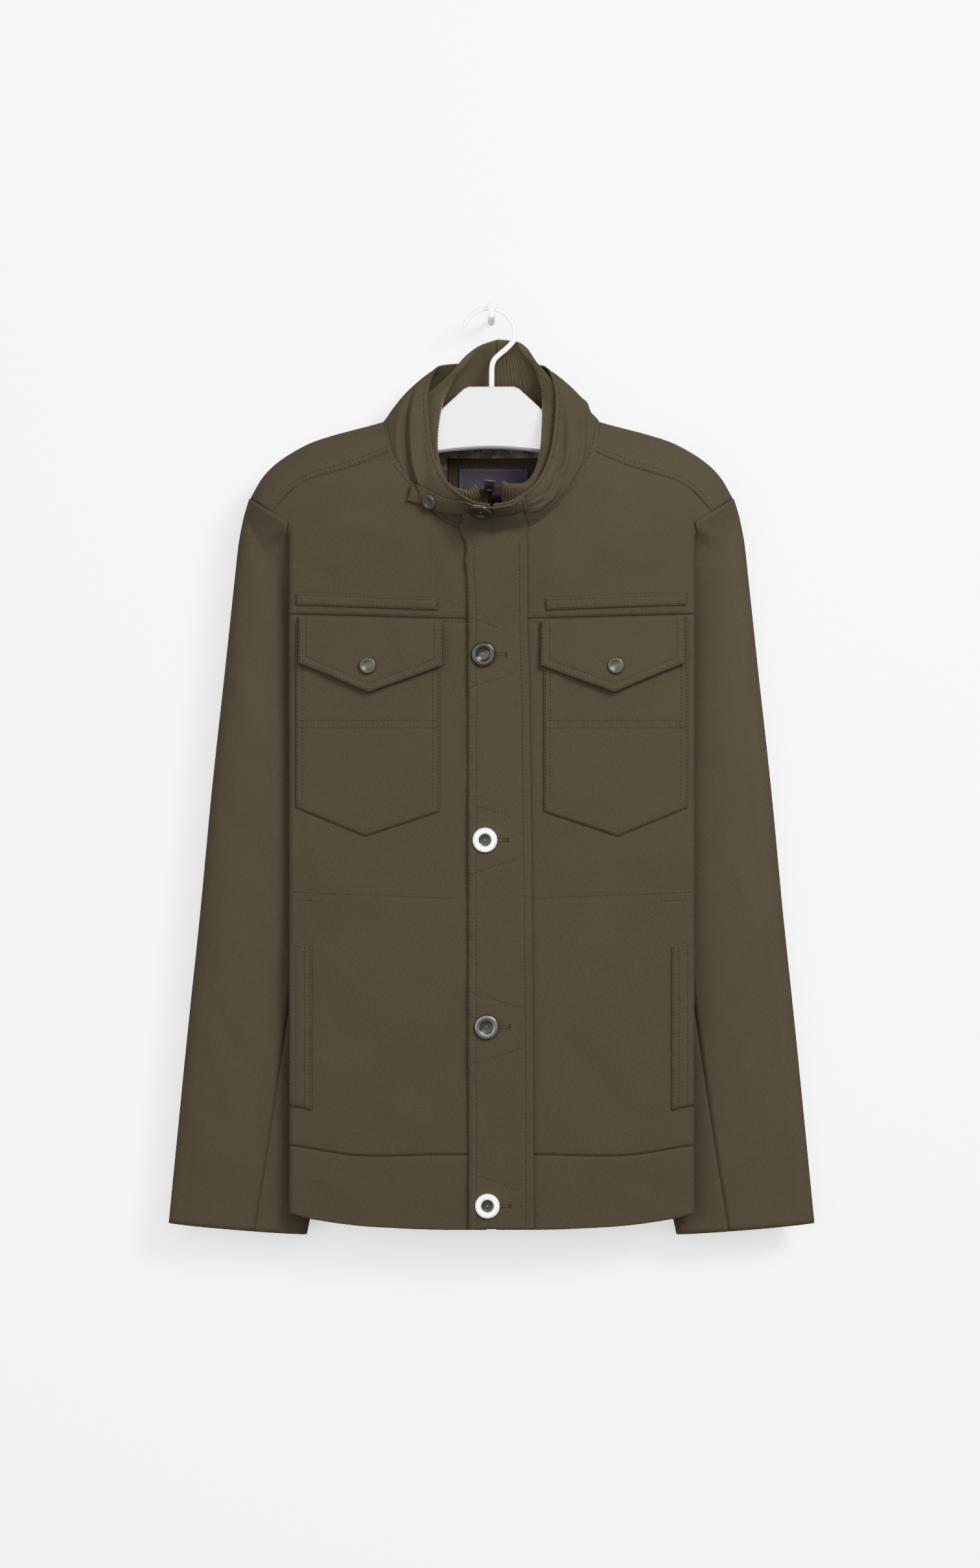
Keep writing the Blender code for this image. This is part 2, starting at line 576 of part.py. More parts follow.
def make_collar():
    parts = [0, 0.25, 0.5, 0.75, 1]
    stations = [0.12, 0.6, 1, 1.5, 2, 2.5, 3, 3.5, 4, 4.5, 5, 5.5, 6, 6.5, 7, 7.5]
    ring = [-s for s in stations] + [CENTRE_BACK] + stations[::-1]
    grid = [[collar_point(station, part) for station in ring] for part in parts]
    wall("collar_shell", grid, DOUBLE, "shell", True)


def tab_point(along, share):
    """Point of the throat tab, from its lower to its upper edge."""
    station, part, lift = (lerp(through(TAB_LOWER, along, column), through(TAB_UPPER, along, column), share)
                           for column in ("station", "part", "lift"))
    return collar_point(station, part, lift)


def make_tab():
    stops = [TAB_LOWER[-1].along * k / (TAB_COLUMNS - 1) for k in range(TAB_COLUMNS)]
    grid = [[tab_point(along, share) for along in stops] for share in (0, 0.5, 1)]
    wall("collar_tab", grid, DOUBLE, "shell", True)
    small = [(0, 2.2), (5.8, 2.2), (6.8, 1.6), (7, 0.8), (6.4, 0), (0, 0)]
    step = 0.05
    for name, (along, share), profile, kind in (("tab_snap", TAB_SNAP, small, "snap"),
                                                ("button_collar", TAB_BUTTON, BUTTON_PROFILE, "button")):
        here = tab_point(along, share)
        up, onward = tab_point(along, share + step) - here, tab_point(along + step, share) - here
        out = up.cross(onward).normalized()
        turned(name, profile, 16, kind, here + out * 1.6 * LAYER_GAP, out)


def rib_point(station, part):
    sign = 1 if station >= 0 else -1
    rows = RIB_TOP_LEFT if sign > 0 else RIB_TOP_RIGHT
    inset = RIB_INSET + RIB_FRONT_INSET * max(1 - abs(station) / 2, 0)
    base = collar_point(station, RIB_START, -inset)
    return base.lerp(edge_point(rows, station, sign), part)


def make_rib():
    parts = [0, 0.35, 0.7, 1]
    stations = [RIB_END, 1, 1.6, 2.3, 3, 3.6, 4.3, 5, 5.5, 6, 6.5, 7, 7.5]
    ring = [-s for s in stations] + [CENTRE_BACK] + stations[::-1]
    grid = [[rib_point(station, part) for station in ring] for part in parts]
    wall("rib_collar", grid, KNIT, "rib", True)


def ribbon(name, path, half, thickness, kind):
    grid = [[Vector((x - half, y, z)), Vector((x + half, y, z))] for x, y, z in path]
    return wall(name, grid, thickness, kind)


# Inside of the neck

NECK_COLUMNS = [-74, -58, -40, -30, -10, 12, 33.4, 44, 58, 74]
NECK_ROWS = [-200, -182, -174, -162, -149, -136, -127, -117]


def inside_patch(name, left, right, top, bottom, lift, thickness, kind):
    """A layer on the inner face of the back, on lines that the layers share."""
    columns = [x for x in NECK_COLUMNS if left <= x <= right]
    rows = [z for z in NECK_ROWS if bottom <= z <= top]
    grid = [[Vector((x, back_y(x, z) - lift, z)) for x in columns] for z in rows]
    wall(name, grid, thickness, kind)


def make_neck_inside():
    lining, facing, label = 1.0, 0.8, 0.8
    level = CLOTH + 3.2 * LAYER_GAP + lining
    inside_patch("lining_back", -74, 74, -117, -200, level, lining, "lining")
    level += LAYER_GAP + facing
    inside_patch("facing_back", -40, 44, -127, -182, level, facing, "facing")
    level += LAYER_GAP + label
    inside_patch("label_back", -30, 33.4, -136, -174, level, label, "label")


# Zips

ZIP_SINK = 0.4              # the chain lies just under the level of the fronts
TAPE = 1.2                  # tape and chain together
CHAIN_HEIGHTS = [-818, -640, -480, -330, -270, -225]
CHAIN_TOP = [(0, -88.0, -207.0), (0.3, -87.6, -200.0), (1.0, -96.0, -191.0), (2.4, -101.0, -183.0),
             (4.0, -107.0, -175.0)]     # where it leaves the fronts and stands up in the neck
SLIDER_SIZE = Vector((8.0, 3.6, 10.0))
PULL_SIZE = Vector((3.4, 1.3, 9.0))
PULL_SLOT = Vector((1.6, 3.9, 3.78))
PULL_SLOT_DROP = 1.26       # slot centre below the plate's centre
EAR_THICK = 1.0
BARREL_GAP = 0.35           # play between the barrel and each ear
PIN_RADIUS = 0.6
EYE_RADIUS = 0.95
BARREL_RADIUS = 1.8
EAR_X = 2.6
PIN_OUT = 2.6               # pin centre in front of the slider's face
MAIN_SLIDER = Vector((4.5, -111.0, -173.0))
MAIN_TURN = (math.radians(37), math.radians(-25), 0)
RIB_SLIDER = Vector((-2.0, -106.6, -160.0))
RIB_TURN = (math.radians(19), math.radians(4), 0)
PULL_REST = {"main": math.radians(132), "rib": math.radians(98)}


def box_mesh(name, size, centre):
    form = bmesh.new()
    bmesh.ops.create_cube(form, size=1.0)
    bmesh.ops.scale(form, vec=size * MM, verts=form.verts)
    bmesh.ops.translate(form, vec=centre * MM, verts=form.verts)
    mesh = bpy.data.meshes.new(name)
    form.to_mesh(mesh)
    form.free()
    return mesh


def rod_mesh(name, radius, length, centre, axis, sides):
    form = bmesh.new()
    turn = axis.to_track_quat("Z", "Y").to_matrix().to_4x4()
    bmesh.ops.create_cone(form, cap_ends=True, segments=sides, radius1=radius * MM, radius2=radius * MM,
                          depth=length * MM, matrix=Matrix.Translation(centre * MM) @ turn)
    mesh = bpy.data.meshes.new(name)
    form.to_mesh(mesh)
    form.free()
    return mesh


def combine(item, mesh, operation, parent=None):
    """Join a helper shape to an object, or cut it from it."""
    helper = bpy.data.objects.new(item.name + "_helper", mesh)
    bpy.context.scene.collection.objects.link(helper)
    helper.parent = parent or item
    helper.hide_render = True
    helper.display_type = "WIRE"
    change = item.modifiers.new(operation.lower(), "BOOLEAN")
    change.operation = operation
    change.object = helper


def make_zip(word, place, turn):
    """A slider with two ears and a pin, and its pull tab hung on the pin."""
    centre = Vector((0, 0, 0))
    across = Vector((1, 0, 0))
    pin = Vector((0, -SLIDER_SIZE.y / 2 - PIN_OUT, -SLIDER_SIZE.z / 4))
    slider = add_object("slider_" + word, box_mesh("slider_" + word, SLIDER_SIZE, centre), "metal")
    slider.location = place * MM
    slider.rotation_mode = "YXZ"
    slider.rotation_euler = turn
    ear = Vector((EAR_THICK, PIN_OUT + 2.2, 3.0))
    for side in (1, -1):
        spot = Vector((side * EAR_X, pin.y + ear.y / 2 - 1.2, pin.z))
        combine(slider, box_mesh("ear", ear, spot), "UNION")
    combine(slider, rod_mesh("pin", PIN_RADIUS, 2 * EAR_X, pin, across, 8), "UNION")

    plate = Vector((0, 0, -BARREL_RADIUS * 0.6 - PULL_SIZE.z / 2))
    pull = add_object("pull_" + word, box_mesh("pull_" + word, PULL_SIZE, plate), "metal")
    pull.parent = slider
    pull.location = pin * MM
    pull.rotation_euler = (-PULL_REST[word], 0, 0)
    barrel = 2 * (EAR_X - EAR_THICK / 2 - BARREL_GAP)
    combine(pull, rod_mesh("barrel", BARREL_RADIUS, barrel, centre, across, 12), "UNION")
    combine(pull, rod_mesh("eye", EYE_RADIUS, barrel * 2, centre, across, 12), "DIFFERENCE")
    slot_centre = plate - Vector((0, 0, PULL_SLOT_DROP))
    combine(pull, box_mesh("slot", PULL_SLOT, slot_centre), "DIFFERENCE")


def make_zips():
    chain = [(0, front_y(0, z) + ZIP_SINK, z) for z in CHAIN_HEIGHTS] + CHAIN_TOP
    ribbon("zip_main", chain, ZIP_HALF, TAPE, "tape")
    step = Vector((1.5 * SEAM_GAP, 0, 0))
    ends = [(rib_point(-RIB_END, part) + step, rib_point(RIB_END, part) - step) for part in (0, 0.5, 1)]
    wall("zip_rib", [list(pair) for pair in ends], TAPE, "tape")
    make_zip("main", MAIN_SLIDER, MAIN_TURN)
    make_zip("rib", RIB_SLIDER, RIB_TURN)


# Hanger, hook and peg

def make_hanger():
    arm = [Point(x, through(SHOULDER, x, "z") - HANGER_SEAT) for x in HANGER_ARM_X]
    half = HANGER_NECK + arm + HANGER_LOWER
    outline = half + [Point(-p.x, p.z) for p in half[-2:0:-1]]
    form = bmesh.new()
    back = HANGER_Y + HANGER_THICK / 2
    face = form.faces.new([form.verts.new(Vector((p.x, back, p.z)) * MM) for p in outline])
    grown = bmesh.ops.extrude_face_region(form, geom=[face])["geom"]
    moved = [part for part in grown if isinstance(part, bmesh.types.BMVert)]
    bmesh.ops.translate(form, vec=Vector((0, -HANGER_THICK, 0)) * MM, verts=moved)
    bmesh.ops.recalc_face_normals(form, faces=form.faces)
    mesh = bpy.data.meshes.new("hanger")
    form.to_mesh(mesh)
    form.free()
    hanger = add_object("hanger", mesh, "white")
    soften = hanger.modifiers.new("soften", "BEVEL")
    soften.width = 3.0 * MM
    soften.segments = 2
    soften.limit_method = "ANGLE"
    soften.angle_limit = math.radians(50)


def make_hook():
    """Wire up from the hanger, out to one side and round over the peg."""
    path = [(0, HANGER_TOP + 0.3), (0, -56), (0.2, -47), (2, -41), (6.5, -36), (12.5, -31), (17.5, -26)]
    for step in range(15):
        angle = math.radians(lerp(-8, 160, step / 14))
        path.append((HOOK_CENTRE.x + HOOK_RADIUS * math.cos(angle),
                     HOOK_CENTRE.z + HOOK_RADIUS * math.sin(angle)))
    curve = bpy.data.curves.new("hanger_hook", "CURVE")
    curve.dimensions = "3D"
    curve.bevel_depth = WIRE * MM
    curve.bevel_resolution = 2
    curve.use_fill_caps = True
    spline = curve.splines.new("POLY")
    spline.points.add(len(path) - 1)
    for point, (x, z) in zip(spline.points, path):
        point.co = (x * MM, HANGER_Y * MM, z * MM, 1)
    add_object("hanger_hook", curve, "white")


def make_peg():
    """Plain wall peg with an upturned knob that keeps the hook on."""
    away = Vector((0, -1, 0))
    shaft = rod_mesh("wall_peg", PEG_RADIUS, PEG_LENGTH, Vector((0, -PEG_LENGTH / 2, 0)), away, 20)
    peg = add_object("wall_peg", shaft, "white")
    knob_y = HANGER_Y - WIRE - 0.4 - KNOB_THICK / 2
    knob = rod_mesh("knob", KNOB_RADIUS, KNOB_THICK, Vector((0, knob_y, KNOB_RISE)), away, 20)
    combine(peg, knob, "UNION")


def main():
    clear_scene()
    make_fronts()
    make_yokes()
    make_back()
    make_sleeves()
    make_pockets()
    make_placket()
    make_buttons()
    make_collar()
    make_tab()
    make_rib()
    make_neck_inside()
    make_zips()
    make_hanger()
    make_hook()
    make_peg()


main()
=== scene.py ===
import math

import bmesh
import bpy
import numpy as np
from mathutils import Matrix, Vector


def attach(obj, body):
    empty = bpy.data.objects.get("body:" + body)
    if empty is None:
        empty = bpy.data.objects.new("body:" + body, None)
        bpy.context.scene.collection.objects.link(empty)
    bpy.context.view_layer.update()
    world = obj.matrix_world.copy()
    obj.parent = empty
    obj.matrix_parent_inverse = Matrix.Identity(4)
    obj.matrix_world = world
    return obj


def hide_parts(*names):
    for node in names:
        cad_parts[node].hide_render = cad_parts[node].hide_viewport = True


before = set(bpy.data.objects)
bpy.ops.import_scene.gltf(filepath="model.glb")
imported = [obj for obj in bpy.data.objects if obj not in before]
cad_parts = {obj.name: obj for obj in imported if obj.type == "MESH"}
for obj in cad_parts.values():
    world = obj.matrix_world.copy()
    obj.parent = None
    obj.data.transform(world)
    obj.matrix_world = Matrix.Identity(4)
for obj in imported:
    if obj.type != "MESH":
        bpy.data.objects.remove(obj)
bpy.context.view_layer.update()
mm = 0.001
print("frame loaded")


# Curves

class Curve:
    # a smooth line through a short table that never swings past its points
    def __init__(self, *rows):
        table = np.array(sorted(rows), float)
        self.keys, self.values = table[:, 0], table[:, 1:]
        rise = np.diff(self.values, axis=0) / np.diff(self.keys)[:, None]
        before, after = rise[:-1], rise[1:]
        sameWay = before * after > 0
        middle = np.where(sameWay, 2 * before * after / np.where(sameWay, before + after, 1), 0)
        self.slopes = np.vstack([rise[:1], middle, rise[-1:]])

    def __call__(self, at, column=0):
        at = np.clip(np.asarray(at, float), self.keys[0], self.keys[-1])
        k = np.clip(np.searchsorted(self.keys, at, side="right") - 1, 0, len(self.keys) - 2)
        span = self.keys[k + 1] - self.keys[k]
        t = (at - self.keys[k]) / span
        start, end = self.values[k, column], self.values[k + 1, column]
        bend = self.slopes[k, column] * t * (1 - t) ** 2 - self.slopes[k + 1, column] * t * t * (1 - t)
        return start * (1 + 2 * t) * (1 - t) ** 2 + end * t * t * (3 - 2 * t) + bend * span


def mix(start, end, part):
    return start + (end - start) * part


def smooth(value):
    value = np.clip(value, 0, 1)
    return value * value * (3 - 2 * value)


def lineDistance(x, z, line):
    best = np.full(np.shape(x), 1e6)
    for (x0, z0), (x1, z1) in zip(line, line[1:]):
        dx, dz = x1 - x0, z1 - z0
        t = np.clip(((x - x0) * dx + (z - z0) * dz) / (dx * dx + dz * dz), 0, 1)
        best = np.minimum(best, np.hypot(x - x0 - t * dx, z - z0 - t * dz))
    return best


foldShape = {"bow": 0.05, "fade": 0.35, "narrow": 0.7, "widen": 0.5}


# Cloth folds: from x, z to x, z in mm, half width, rise
def creaseHeight(x, z, creases):
    height = np.zeros(np.broadcast(x, z).shape)
    for x0, z0, x1, z1, width, rise in creases:
        dx, dz = x1 - x0, z1 - z0
        long = math.hypot(dx, dz)
        along = ((x - x0) * dx + (z - z0) * dz) / long ** 2
        off = ((x - x0) * dz - (z - z0) * dx) / long
        off = off + foldShape["bow"] * long * np.sin(math.pi * along)
        fade = smooth(along / foldShape["fade"]) * smooth((1 - along) / foldShape["fade"])
        wide = width * (foldShape["narrow"] + foldShape["widen"] * along)
        height += rise * fade * np.exp(-(off / wide) ** 2)
    return height


stitch = {"long": 2.5, "thick": 0.5, "pitch": 3.3, "dent": 0.32, "dentWidth": 1.7, "pucker": 0.10,
          "puckerWidth": 6.0, "rise": 0.22, "shortest": 0.2, "batch": 120}


def rowDent(x, z, rows):
    # a shallow groove along each row of stitches, with the small puckers beside it
    height = np.zeros(np.broadcast(x, z).shape)
    for line in rows:
        away = lineDistance(x, z, line)
        height -= stitch["dent"] * np.exp(-(away / stitch["dentWidth"]) ** 2)
        wave = np.sin((x * 0.83 + z * 0.57) * 0.62) + 0.6 * np.sin((x * 0.4 - z * 0.9) * 0.41 + 1.3)
        height += stitch["pucker"] * wave * np.exp(-(away / stitch["puckerWidth"]) ** 2)
    return height


# Body surface in mm, on the form of the solids

body = {"ridgeY": -44.0, "roundOver": 70.0, "foldRadius": 5.0, "foldFade": 17.0, "seamX": 98.0,
        "seamY": -43.0, "seamGap": 0.2, "shoulderEnd": -166.6, "yokeEnd": -180.3, "underarm": -392.0,
        "cloth": 1.2, "double": 2.0, "layerGap": 0.5, "frontEdge": 4.0, "frontFold": 182.0,
        "backFold": 160.0, "yokeStart": 92.5, "neckX": 98.0, "chestSide": -272.0, "hemSide": -748.0,
        "hemEdgeSide": -807.7, "hemEdgeBackSide": -806.0, "calmFrom": 16.0, "calmOver": 14.0,
        "edgeRoll": 0.35, "edgeWidth": 1.1}
shoulder = Curve((0, -66), (98, -96.6), (160, -114), (181.6, -125), (197, -136), (208, -148),
                 (218.6, -166.6))
neckFront = Curve((0, -200), (32, -194.5), (55, -179), (75.7, -153), (92.5, -126.7), (98, -96.6))
neckBack = Curve((0, -112), (50, -109.5), (85, -102), (98, -96.6))
yokeSeam = Curve((92.5, -126.7), (121, -139), (164.7, -152), (180, -161), (197.5, -180.3))
chestSeam = Curve((0, -277.5), (182, -272))
hemSeam = Curve((0, -756), (37, -756), (108, -757.5), (182, -748))
hemEdge = Curve((0, -823), (40, -823), (105, -820.7), (166, -813), (182, -807.7))
hemSeamBack = Curve((0, -752), (160, -748))
hemEdgeBack = Curve((0, -812), (160, -806))
frontDepth = Curve((-830, -77, 5), (-760, -78, 6), (-600, -80, 7), (-400, -82, 8), (-280, -86, 11),
                   (-200, -92, 16), (-95, -88, 16))
backDepth = Curve((-830, -10, -4), (-300, -9, -5), (-95, -12, -4))
frontLap = Curve((-830, 94.7), (-402, 94.7), (-392, 82.7), (-350, 72.7), (-300, 59.7), (-250, 42.7),
                 (-230, 32.7), (-210, 19), (-200, 11), (-190, 6), (-185, 13), (-180.3, 20.5), (-166.6, 41.6))
backLap = Curve((-830, 72.7), (-402, 72.7), (-392, 61.7), (-350, 50.7), (-300, 37.7), (-250, 22), (-230, 15),
                (-218, 12), (-205, 22), (-190, 36), (-178, 48), (-166.6, 63.6))


def ridgeShare(x, z):
    drop = np.clip((shoulder(np.abs(x)) - z) / body["roundOver"], 0, 1)
    return np.sqrt(1 - (1 - drop) ** 2)


def frontY(x, z):
    full = frontDepth(z) + frontDepth(z, 1) * (x / body["frontFold"]) ** 2
    return mix(body["ridgeY"] - body["seamGap"], full, ridgeShare(x, z))


def backY(x, z):
    full = backDepth(z) + backDepth(z, 1) * (x / body["backFold"]) ** 2
    return mix(body["ridgeY"] + body["seamGap"], full, ridgeShare(x, z))


frontSide = {"fold": body["frontFold"], "depth": frontY, "top": -188.0, "forward": -1, "lap": frontLap}
backSide = {"fold": body["backFold"], "depth": backY, "top": -213.0, "forward": 1, "lap": backLap}


def folded(side, p, z, lift):
    # p runs along the cloth from the centre: flat, round the fold, then down the side tuck
    p, z, lift = np.broadcast_arrays(np.asarray(p, float), np.asarray(z, float), np.asarray(lift, float))
    radius, forward = body["foldRadius"], side["forward"]
    start = side["fold"] - radius
    past = p - start
    bend = np.maximum(smooth((side["top"] - z) / body["foldFade"]) / radius, 0.0001)
    angle = np.minimum(bend * np.maximum(past, 0), math.pi)
    x = np.where(past > 0, start + np.sin(angle) * (1 / bend + lift), p)
    y = side["depth"](x, z) + forward * (lift * np.cos(angle) - (1 - np.cos(angle)) / bend)
    rest = (past - math.pi / bend) / (start - body["seamX"])
    under = side["depth"](np.full(p.shape, start), z) - forward * (2 * radius + lift)
    x = np.where(rest > 0, mix(start, body["seamX"], rest), x)
    y = np.where(rest > 0, mix(under, body["seamY"] + forward * body["seamGap"], np.clip(rest, 0, 1)), y)
    return np.stack([x, y, z], -1)


# Folds of the fronts in world x and z, shared by all that lies on them
frontCreases = [
    (-62, -176, -34, -268, 9, 1.6), (-46, -190, -26, -262, 5, -1.2), (-85, -150, -70, -235, 12, 0.9),
    (58, -182, 44, -262, 8, 1.2), (88, -150, 82, -240, 12, -0.8), (-150, -188, -60, -215, 10, 0.9),
    (165, -190, 80, -216, 9, 0.7), (-178, -225, -120, -262, 9, -0.8), (176, -214, 112, -250, 10, -0.9),
    (-30, -330, -48, -470, 9, -0.8), (52, -360, 42, -505, 8, 0.9), (-165, -500, -60, -560, 16, 1.2),
    (-60, -580, -150, -690, 18, -1.2), (160, -545, 70, -640, 17, 1.1), (58, -640, 120, -735, 15, -1.1),
    (-120, -700, -40, -748, 14, 0.9), (110, -770, 172, -802, 12, -0.9), (-172, -770, -100, -808, 12, 1.0),
    (-178, -420, -150, -560, 10, 0.9), (178, -440, 150, -590, 11, -0.9), (0, -520, 6, -610, 9, 0.6),
    (14, -690, 6, -770, 8, -0.6), (-100, -478, -95, -545, 14, 0.7), (118, -482, 96, -556, 13, -0.7)]
backCreases = [
    (-70, -135, -130, -250, 16, 1.5), (72, -135, 120, -262, 15, 1.3), (-20, -140, -34, -330, 18, -1.2),
    (24, -150, 46, -360, 17, -1.3), (-140, -300, -60, -480, 20, 1.6), (135, -330, 70, -500, 19, 1.4),
    (-100, -520, -40, -700, 22, -1.6), (110, -540, 36, -720, 20, -1.5), (-10, -420, 8, -640, 20, 1.2),
    (-150, -640, -90, -760, 15, 1.2), (150, -620, 96, -770, 15, 1.1)]


def nearEdge(p, side):
    # the folds die out before the cloth turns round its side
    return 1 - smooth((np.abs(p) - side["fold"] + body["calmFrom"]) / body["calmOver"])


def frontRelief(x, z, rows=()):
    flat = nearEdge(x, frontSide)
    return (creaseHeight(x, z, frontCreases) + rowDent(x, z, rows)) * flat


# Shader helpers

class Value:
    def __init__(self, look, socket):
        self.look, self.socket = look, socket

    def maths(self, operation, other):
        return self.look.add("ShaderNodeMath", {"operation": operation}, {0: self, 1: other})

    def __add__(self, other):
        return self.maths("ADD", other)

    def __mul__(self, other):
        return self.maths("MULTIPLY", other)

    __radd__ = __add__
    __rmul__ = __mul__


class Look:
    def __init__(self, name, **fixed):
        self.material = bpy.data.materials.new(name)
        self.material.use_nodes = True
        self.tree = self.material.node_tree
        self.shader = self.tree.nodes["Principled BSDF"]
        self.feed(**fixed)

    def put(self, socket, value):
        if isinstance(value, Value):
            self.tree.links.new(value.socket, socket)
        else:
            socket.default_value = value

    def add(self, kind, settings=None, inputs=None, output=0):
        node = self.tree.nodes.new(kind)
        for key, value in (settings or {}).items():
            setattr(node, key, value)
        for key, value in (inputs or {}).items():
            self.put(node.inputs[key], value)
        return Value(self, node.outputs[output])

    def noise(self, where, scale, detail=2.0, rough=0.5):
        return self.add("ShaderNodeTexNoise", None,
                        {"Vector": where, "Scale": scale, "Detail": detail, "Roughness": rough})

    def wave(self, where, scale, way, wobble=0.0):
        return self.add("ShaderNodeTexWave", {"bands_direction": way},
                        {"Vector": where, "Scale": scale, "Distortion": wobble, "Detail": 1.0}, "Fac")

    def span(self, value, low, high, start, end):
        return self.add("ShaderNodeMapRange", None, {0: value, 1: low, 2: high, 3: start, 4: end})

    def blend(self, share, first, second):
        colours = {0: share, 6: (*first, 1), 7: (*second, 1)}
        return self.add("ShaderNodeMix", {"data_type": "RGBA"}, colours, 2)

    def feed(self, **sockets):
        for key, value in sockets.items():
            self.put(self.shader.inputs[key.replace("_", " ")], value)

    def bump(self, height, strength, distance):
        self.feed(Normal=self.add("ShaderNodeBump", None,
                                  {"Strength": strength, "Distance": distance, "Height": height}))


def shade(colour, by):
    return tuple(min(channel * by, 1) for channel in colour)


oneBand = 0.314  # the wave texture's scale at which a band is one unit wide


# Woven cotton: fine threads, a heathered tone, and soft wear
def wovenLook(name, colour, roughness=0.86, threads=0.42, depth=0.5):
    look = Look(name, Sheen_Weight=0.03, Sheen_Roughness=0.5, Specular_IOR_Level=0.12)
    where = look.add("ShaderNodeTexCoord", output="UV")
    pitch = oneBand / (threads * mm)
    warp = look.wave(where, pitch, "X", 0.6)
    weft = look.wave(where, pitch * 0.92, "Y", 0.6)
    heather = look.noise(where, 1500, 3.0, 0.7)
    slub = look.noise(where, 420, 2.0)
    cloudy = look.noise(where, 16, 3.0)
    tone = look.span(heather, 0.30, 0.70, 0.0, 0.55) + look.span(slub, 0.3, 0.7, 0.0, 0.3)
    tone = tone + look.span(cloudy, 0.3, 0.7, 0.0, 0.15)
    look.feed(Base_Color=look.blend(tone, shade(colour, 0.78), shade(colour, 1.22)))
    look.feed(Roughness=look.span(slub + cloudy, 0.6, 1.4, roughness - 0.05, roughness + 0.06))
    look.bump(warp * weft * 0.6 + heather * 0.5, depth, 0.00022)
    return look.material


# Ribbed knit: rounded wales with a fuzzy surface
def knitLook(name, colour):
    look = Look(name, Sheen_Weight=0.08, Sheen_Roughness=0.6, Specular_IOR_Level=0.08)
    where = look.add("ShaderNodeTexCoord", output="UV")
    loops = look.wave(where, oneBand / (1.1 * mm), "Y", 2.0)
    fuzz = look.noise(where, 1800, 3.0, 0.7)
    cloudy = look.noise(where, 40, 2.0)
    tone = look.span(fuzz, 0.3, 0.7, 0.0, 0.6) + look.span(cloudy, 0.3, 0.7, 0.0, 0.4)
    look.feed(Base_Color=look.blend(tone, shade(colour, 0.72), shade(colour, 1.25)))
    look.feed(Roughness=look.span(fuzz, 0.3, 0.7, 0.9, 1.0))
    look.bump(loops * 0.22 + fuzz * 0.6, 0.6, 0.0003)
    return look.material


# Dark lining with a blotchy sheen
def liningLook(name, colour):
    look = Look(name, Specular_IOR_Level=0.4, Sheen_Weight=0.1)
    where = look.add("ShaderNodeTexCoord", output="UV")
    blotch = look.noise(where, 95, 1.0, 0.4)
    fine = look.noise(where, 1500, 2.0)
    tone = look.span(blotch, 0.44, 0.56, 0.0, 1.0)
    look.feed(Base_Color=look.blend(tone, shade(colour, 0.45), shade(colour, 1.5)))
    look.feed(Roughness=look.span(blotch, 0.4, 0.6, 0.42, 0.7))
    look.bump(blotch * 0.8 + fine * 0.2, 0.4, 0.0006)
    return look.material


# Smooth hard finishes: plastic, enamel and metal with a faint unevenness
def hardLook(name, colour, roughness, metallic=0.0, coat=0.0, wear=0.06, grain=180):
    look = Look(name, Metallic=metallic, Coat_Weight=coat, Coat_Roughness=0.08)
    where = look.add("ShaderNodeTexCoord", output="Object")
    soft = look.noise(where, grain, 3.0)
    fine = look.noise(where, grain * 14, 2.0)
    look.feed(Base_Color=look.blend(look.span(soft, 0.3, 0.7, 0.0, 1.0), shade(colour, 1 - wear),
                                    shade(colour, 1 + wear)))
    look.feed(Roughness=look.span(soft + fine, 0.6, 1.4, roughness * 0.85, roughness * 1.2))
    look.bump(fine, 0.12, 0.00008)
    return look.material


shellColour = (0.0760, 0.0645, 0.0405)
looks = {
    "shell": wovenLook("brushedOliveCotton", shellColour),
    "sleeve": wovenLook("oliveCottonSleeve", shade(shellColour, 1.06)),
    # the stitch thread is half the cloth's tone: partly its own colour, partly painted shade for the dark
    # lines along the stitched seams
    "thread": wovenLook("oliveThreadWithPaintedSeamShade", shade(shellColour, 0.52), 0.7, 0.3, 0.3),
    "paleThread": wovenLook("greyThread", (0.24, 0.23, 0.26), 0.7, 0.3, 0.3),
    "rib": knitLook("oliveRibKnit", (0.082, 0.070, 0.040)),
    "lining": liningLook("blotchyDarkLining", (0.19, 0.16, 0.13)),
    "facing": wovenLook("darkFacing", (0.056, 0.045, 0.029), 0.8),
    "facingThread": wovenLook("ochreThread", (0.26, 0.21, 0.12), 0.7, 0.3, 0.3),
    "label": wovenLook("slateLabel", (0.066, 0.060, 0.080), 0.6, 0.35, 0.3),
    "tape": wovenLook("zipTape", (0.045, 0.040, 0.026), 0.85, 0.5),
    "button": hardLook("polishedDarkOliveButton", (0.026, 0.024, 0.012), 0.18, 0.0, 0.5),
    "dish": hardLook("darkButtonDish", (0.030, 0.028, 0.018), 0.35, 0.0, 0.2),
    "whiteMetal": hardLook("whiteMetalRim", (0.62, 0.62, 0.62), 0.30, 0.5),
    "gunMetal": hardLook("gunMetalRim", (0.22, 0.22, 0.21), 0.22, 0.9),
    "snap": hardLook("oliveEnamelSnap", (0.072, 0.068, 0.046), 0.32, 0.15, 0.3),
    "zipMetal": hardLook("darkZipMetal", (0.030, 0.030, 0.027), 0.40, 0.8),
    "hanger": hardLook("satinWhiteHanger", (0.40, 0.40, 0.395), 0.42, 0.0, 0.0, 0.04, 30),
    # the grey of the hanger's lower edge is painted shade on the white hanger
    "hangerShadeBead": hardLook("paintedShadeHangerEdge", (0.34, 0.34, 0.36), 0.42, 0.0, 0.0, 0.04, 30),
    "wire": hardLook("whiteEnamelWire", (0.84, 0.84, 0.83), 0.3, 0.0, 0.25, 0.02, 60),
}
print("finishes made")


# Mesh helpers

def addPiece(name, mesh, look, slotName, nodes=(), rideOn="garment"):
    item = bpy.data.objects.new(name, mesh)
    bpy.context.scene.collection.objects.link(item)
    mesh.materials.append(looks[look])
    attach(item, rideOn)
    if nodes:
        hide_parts(*nodes)
    return item


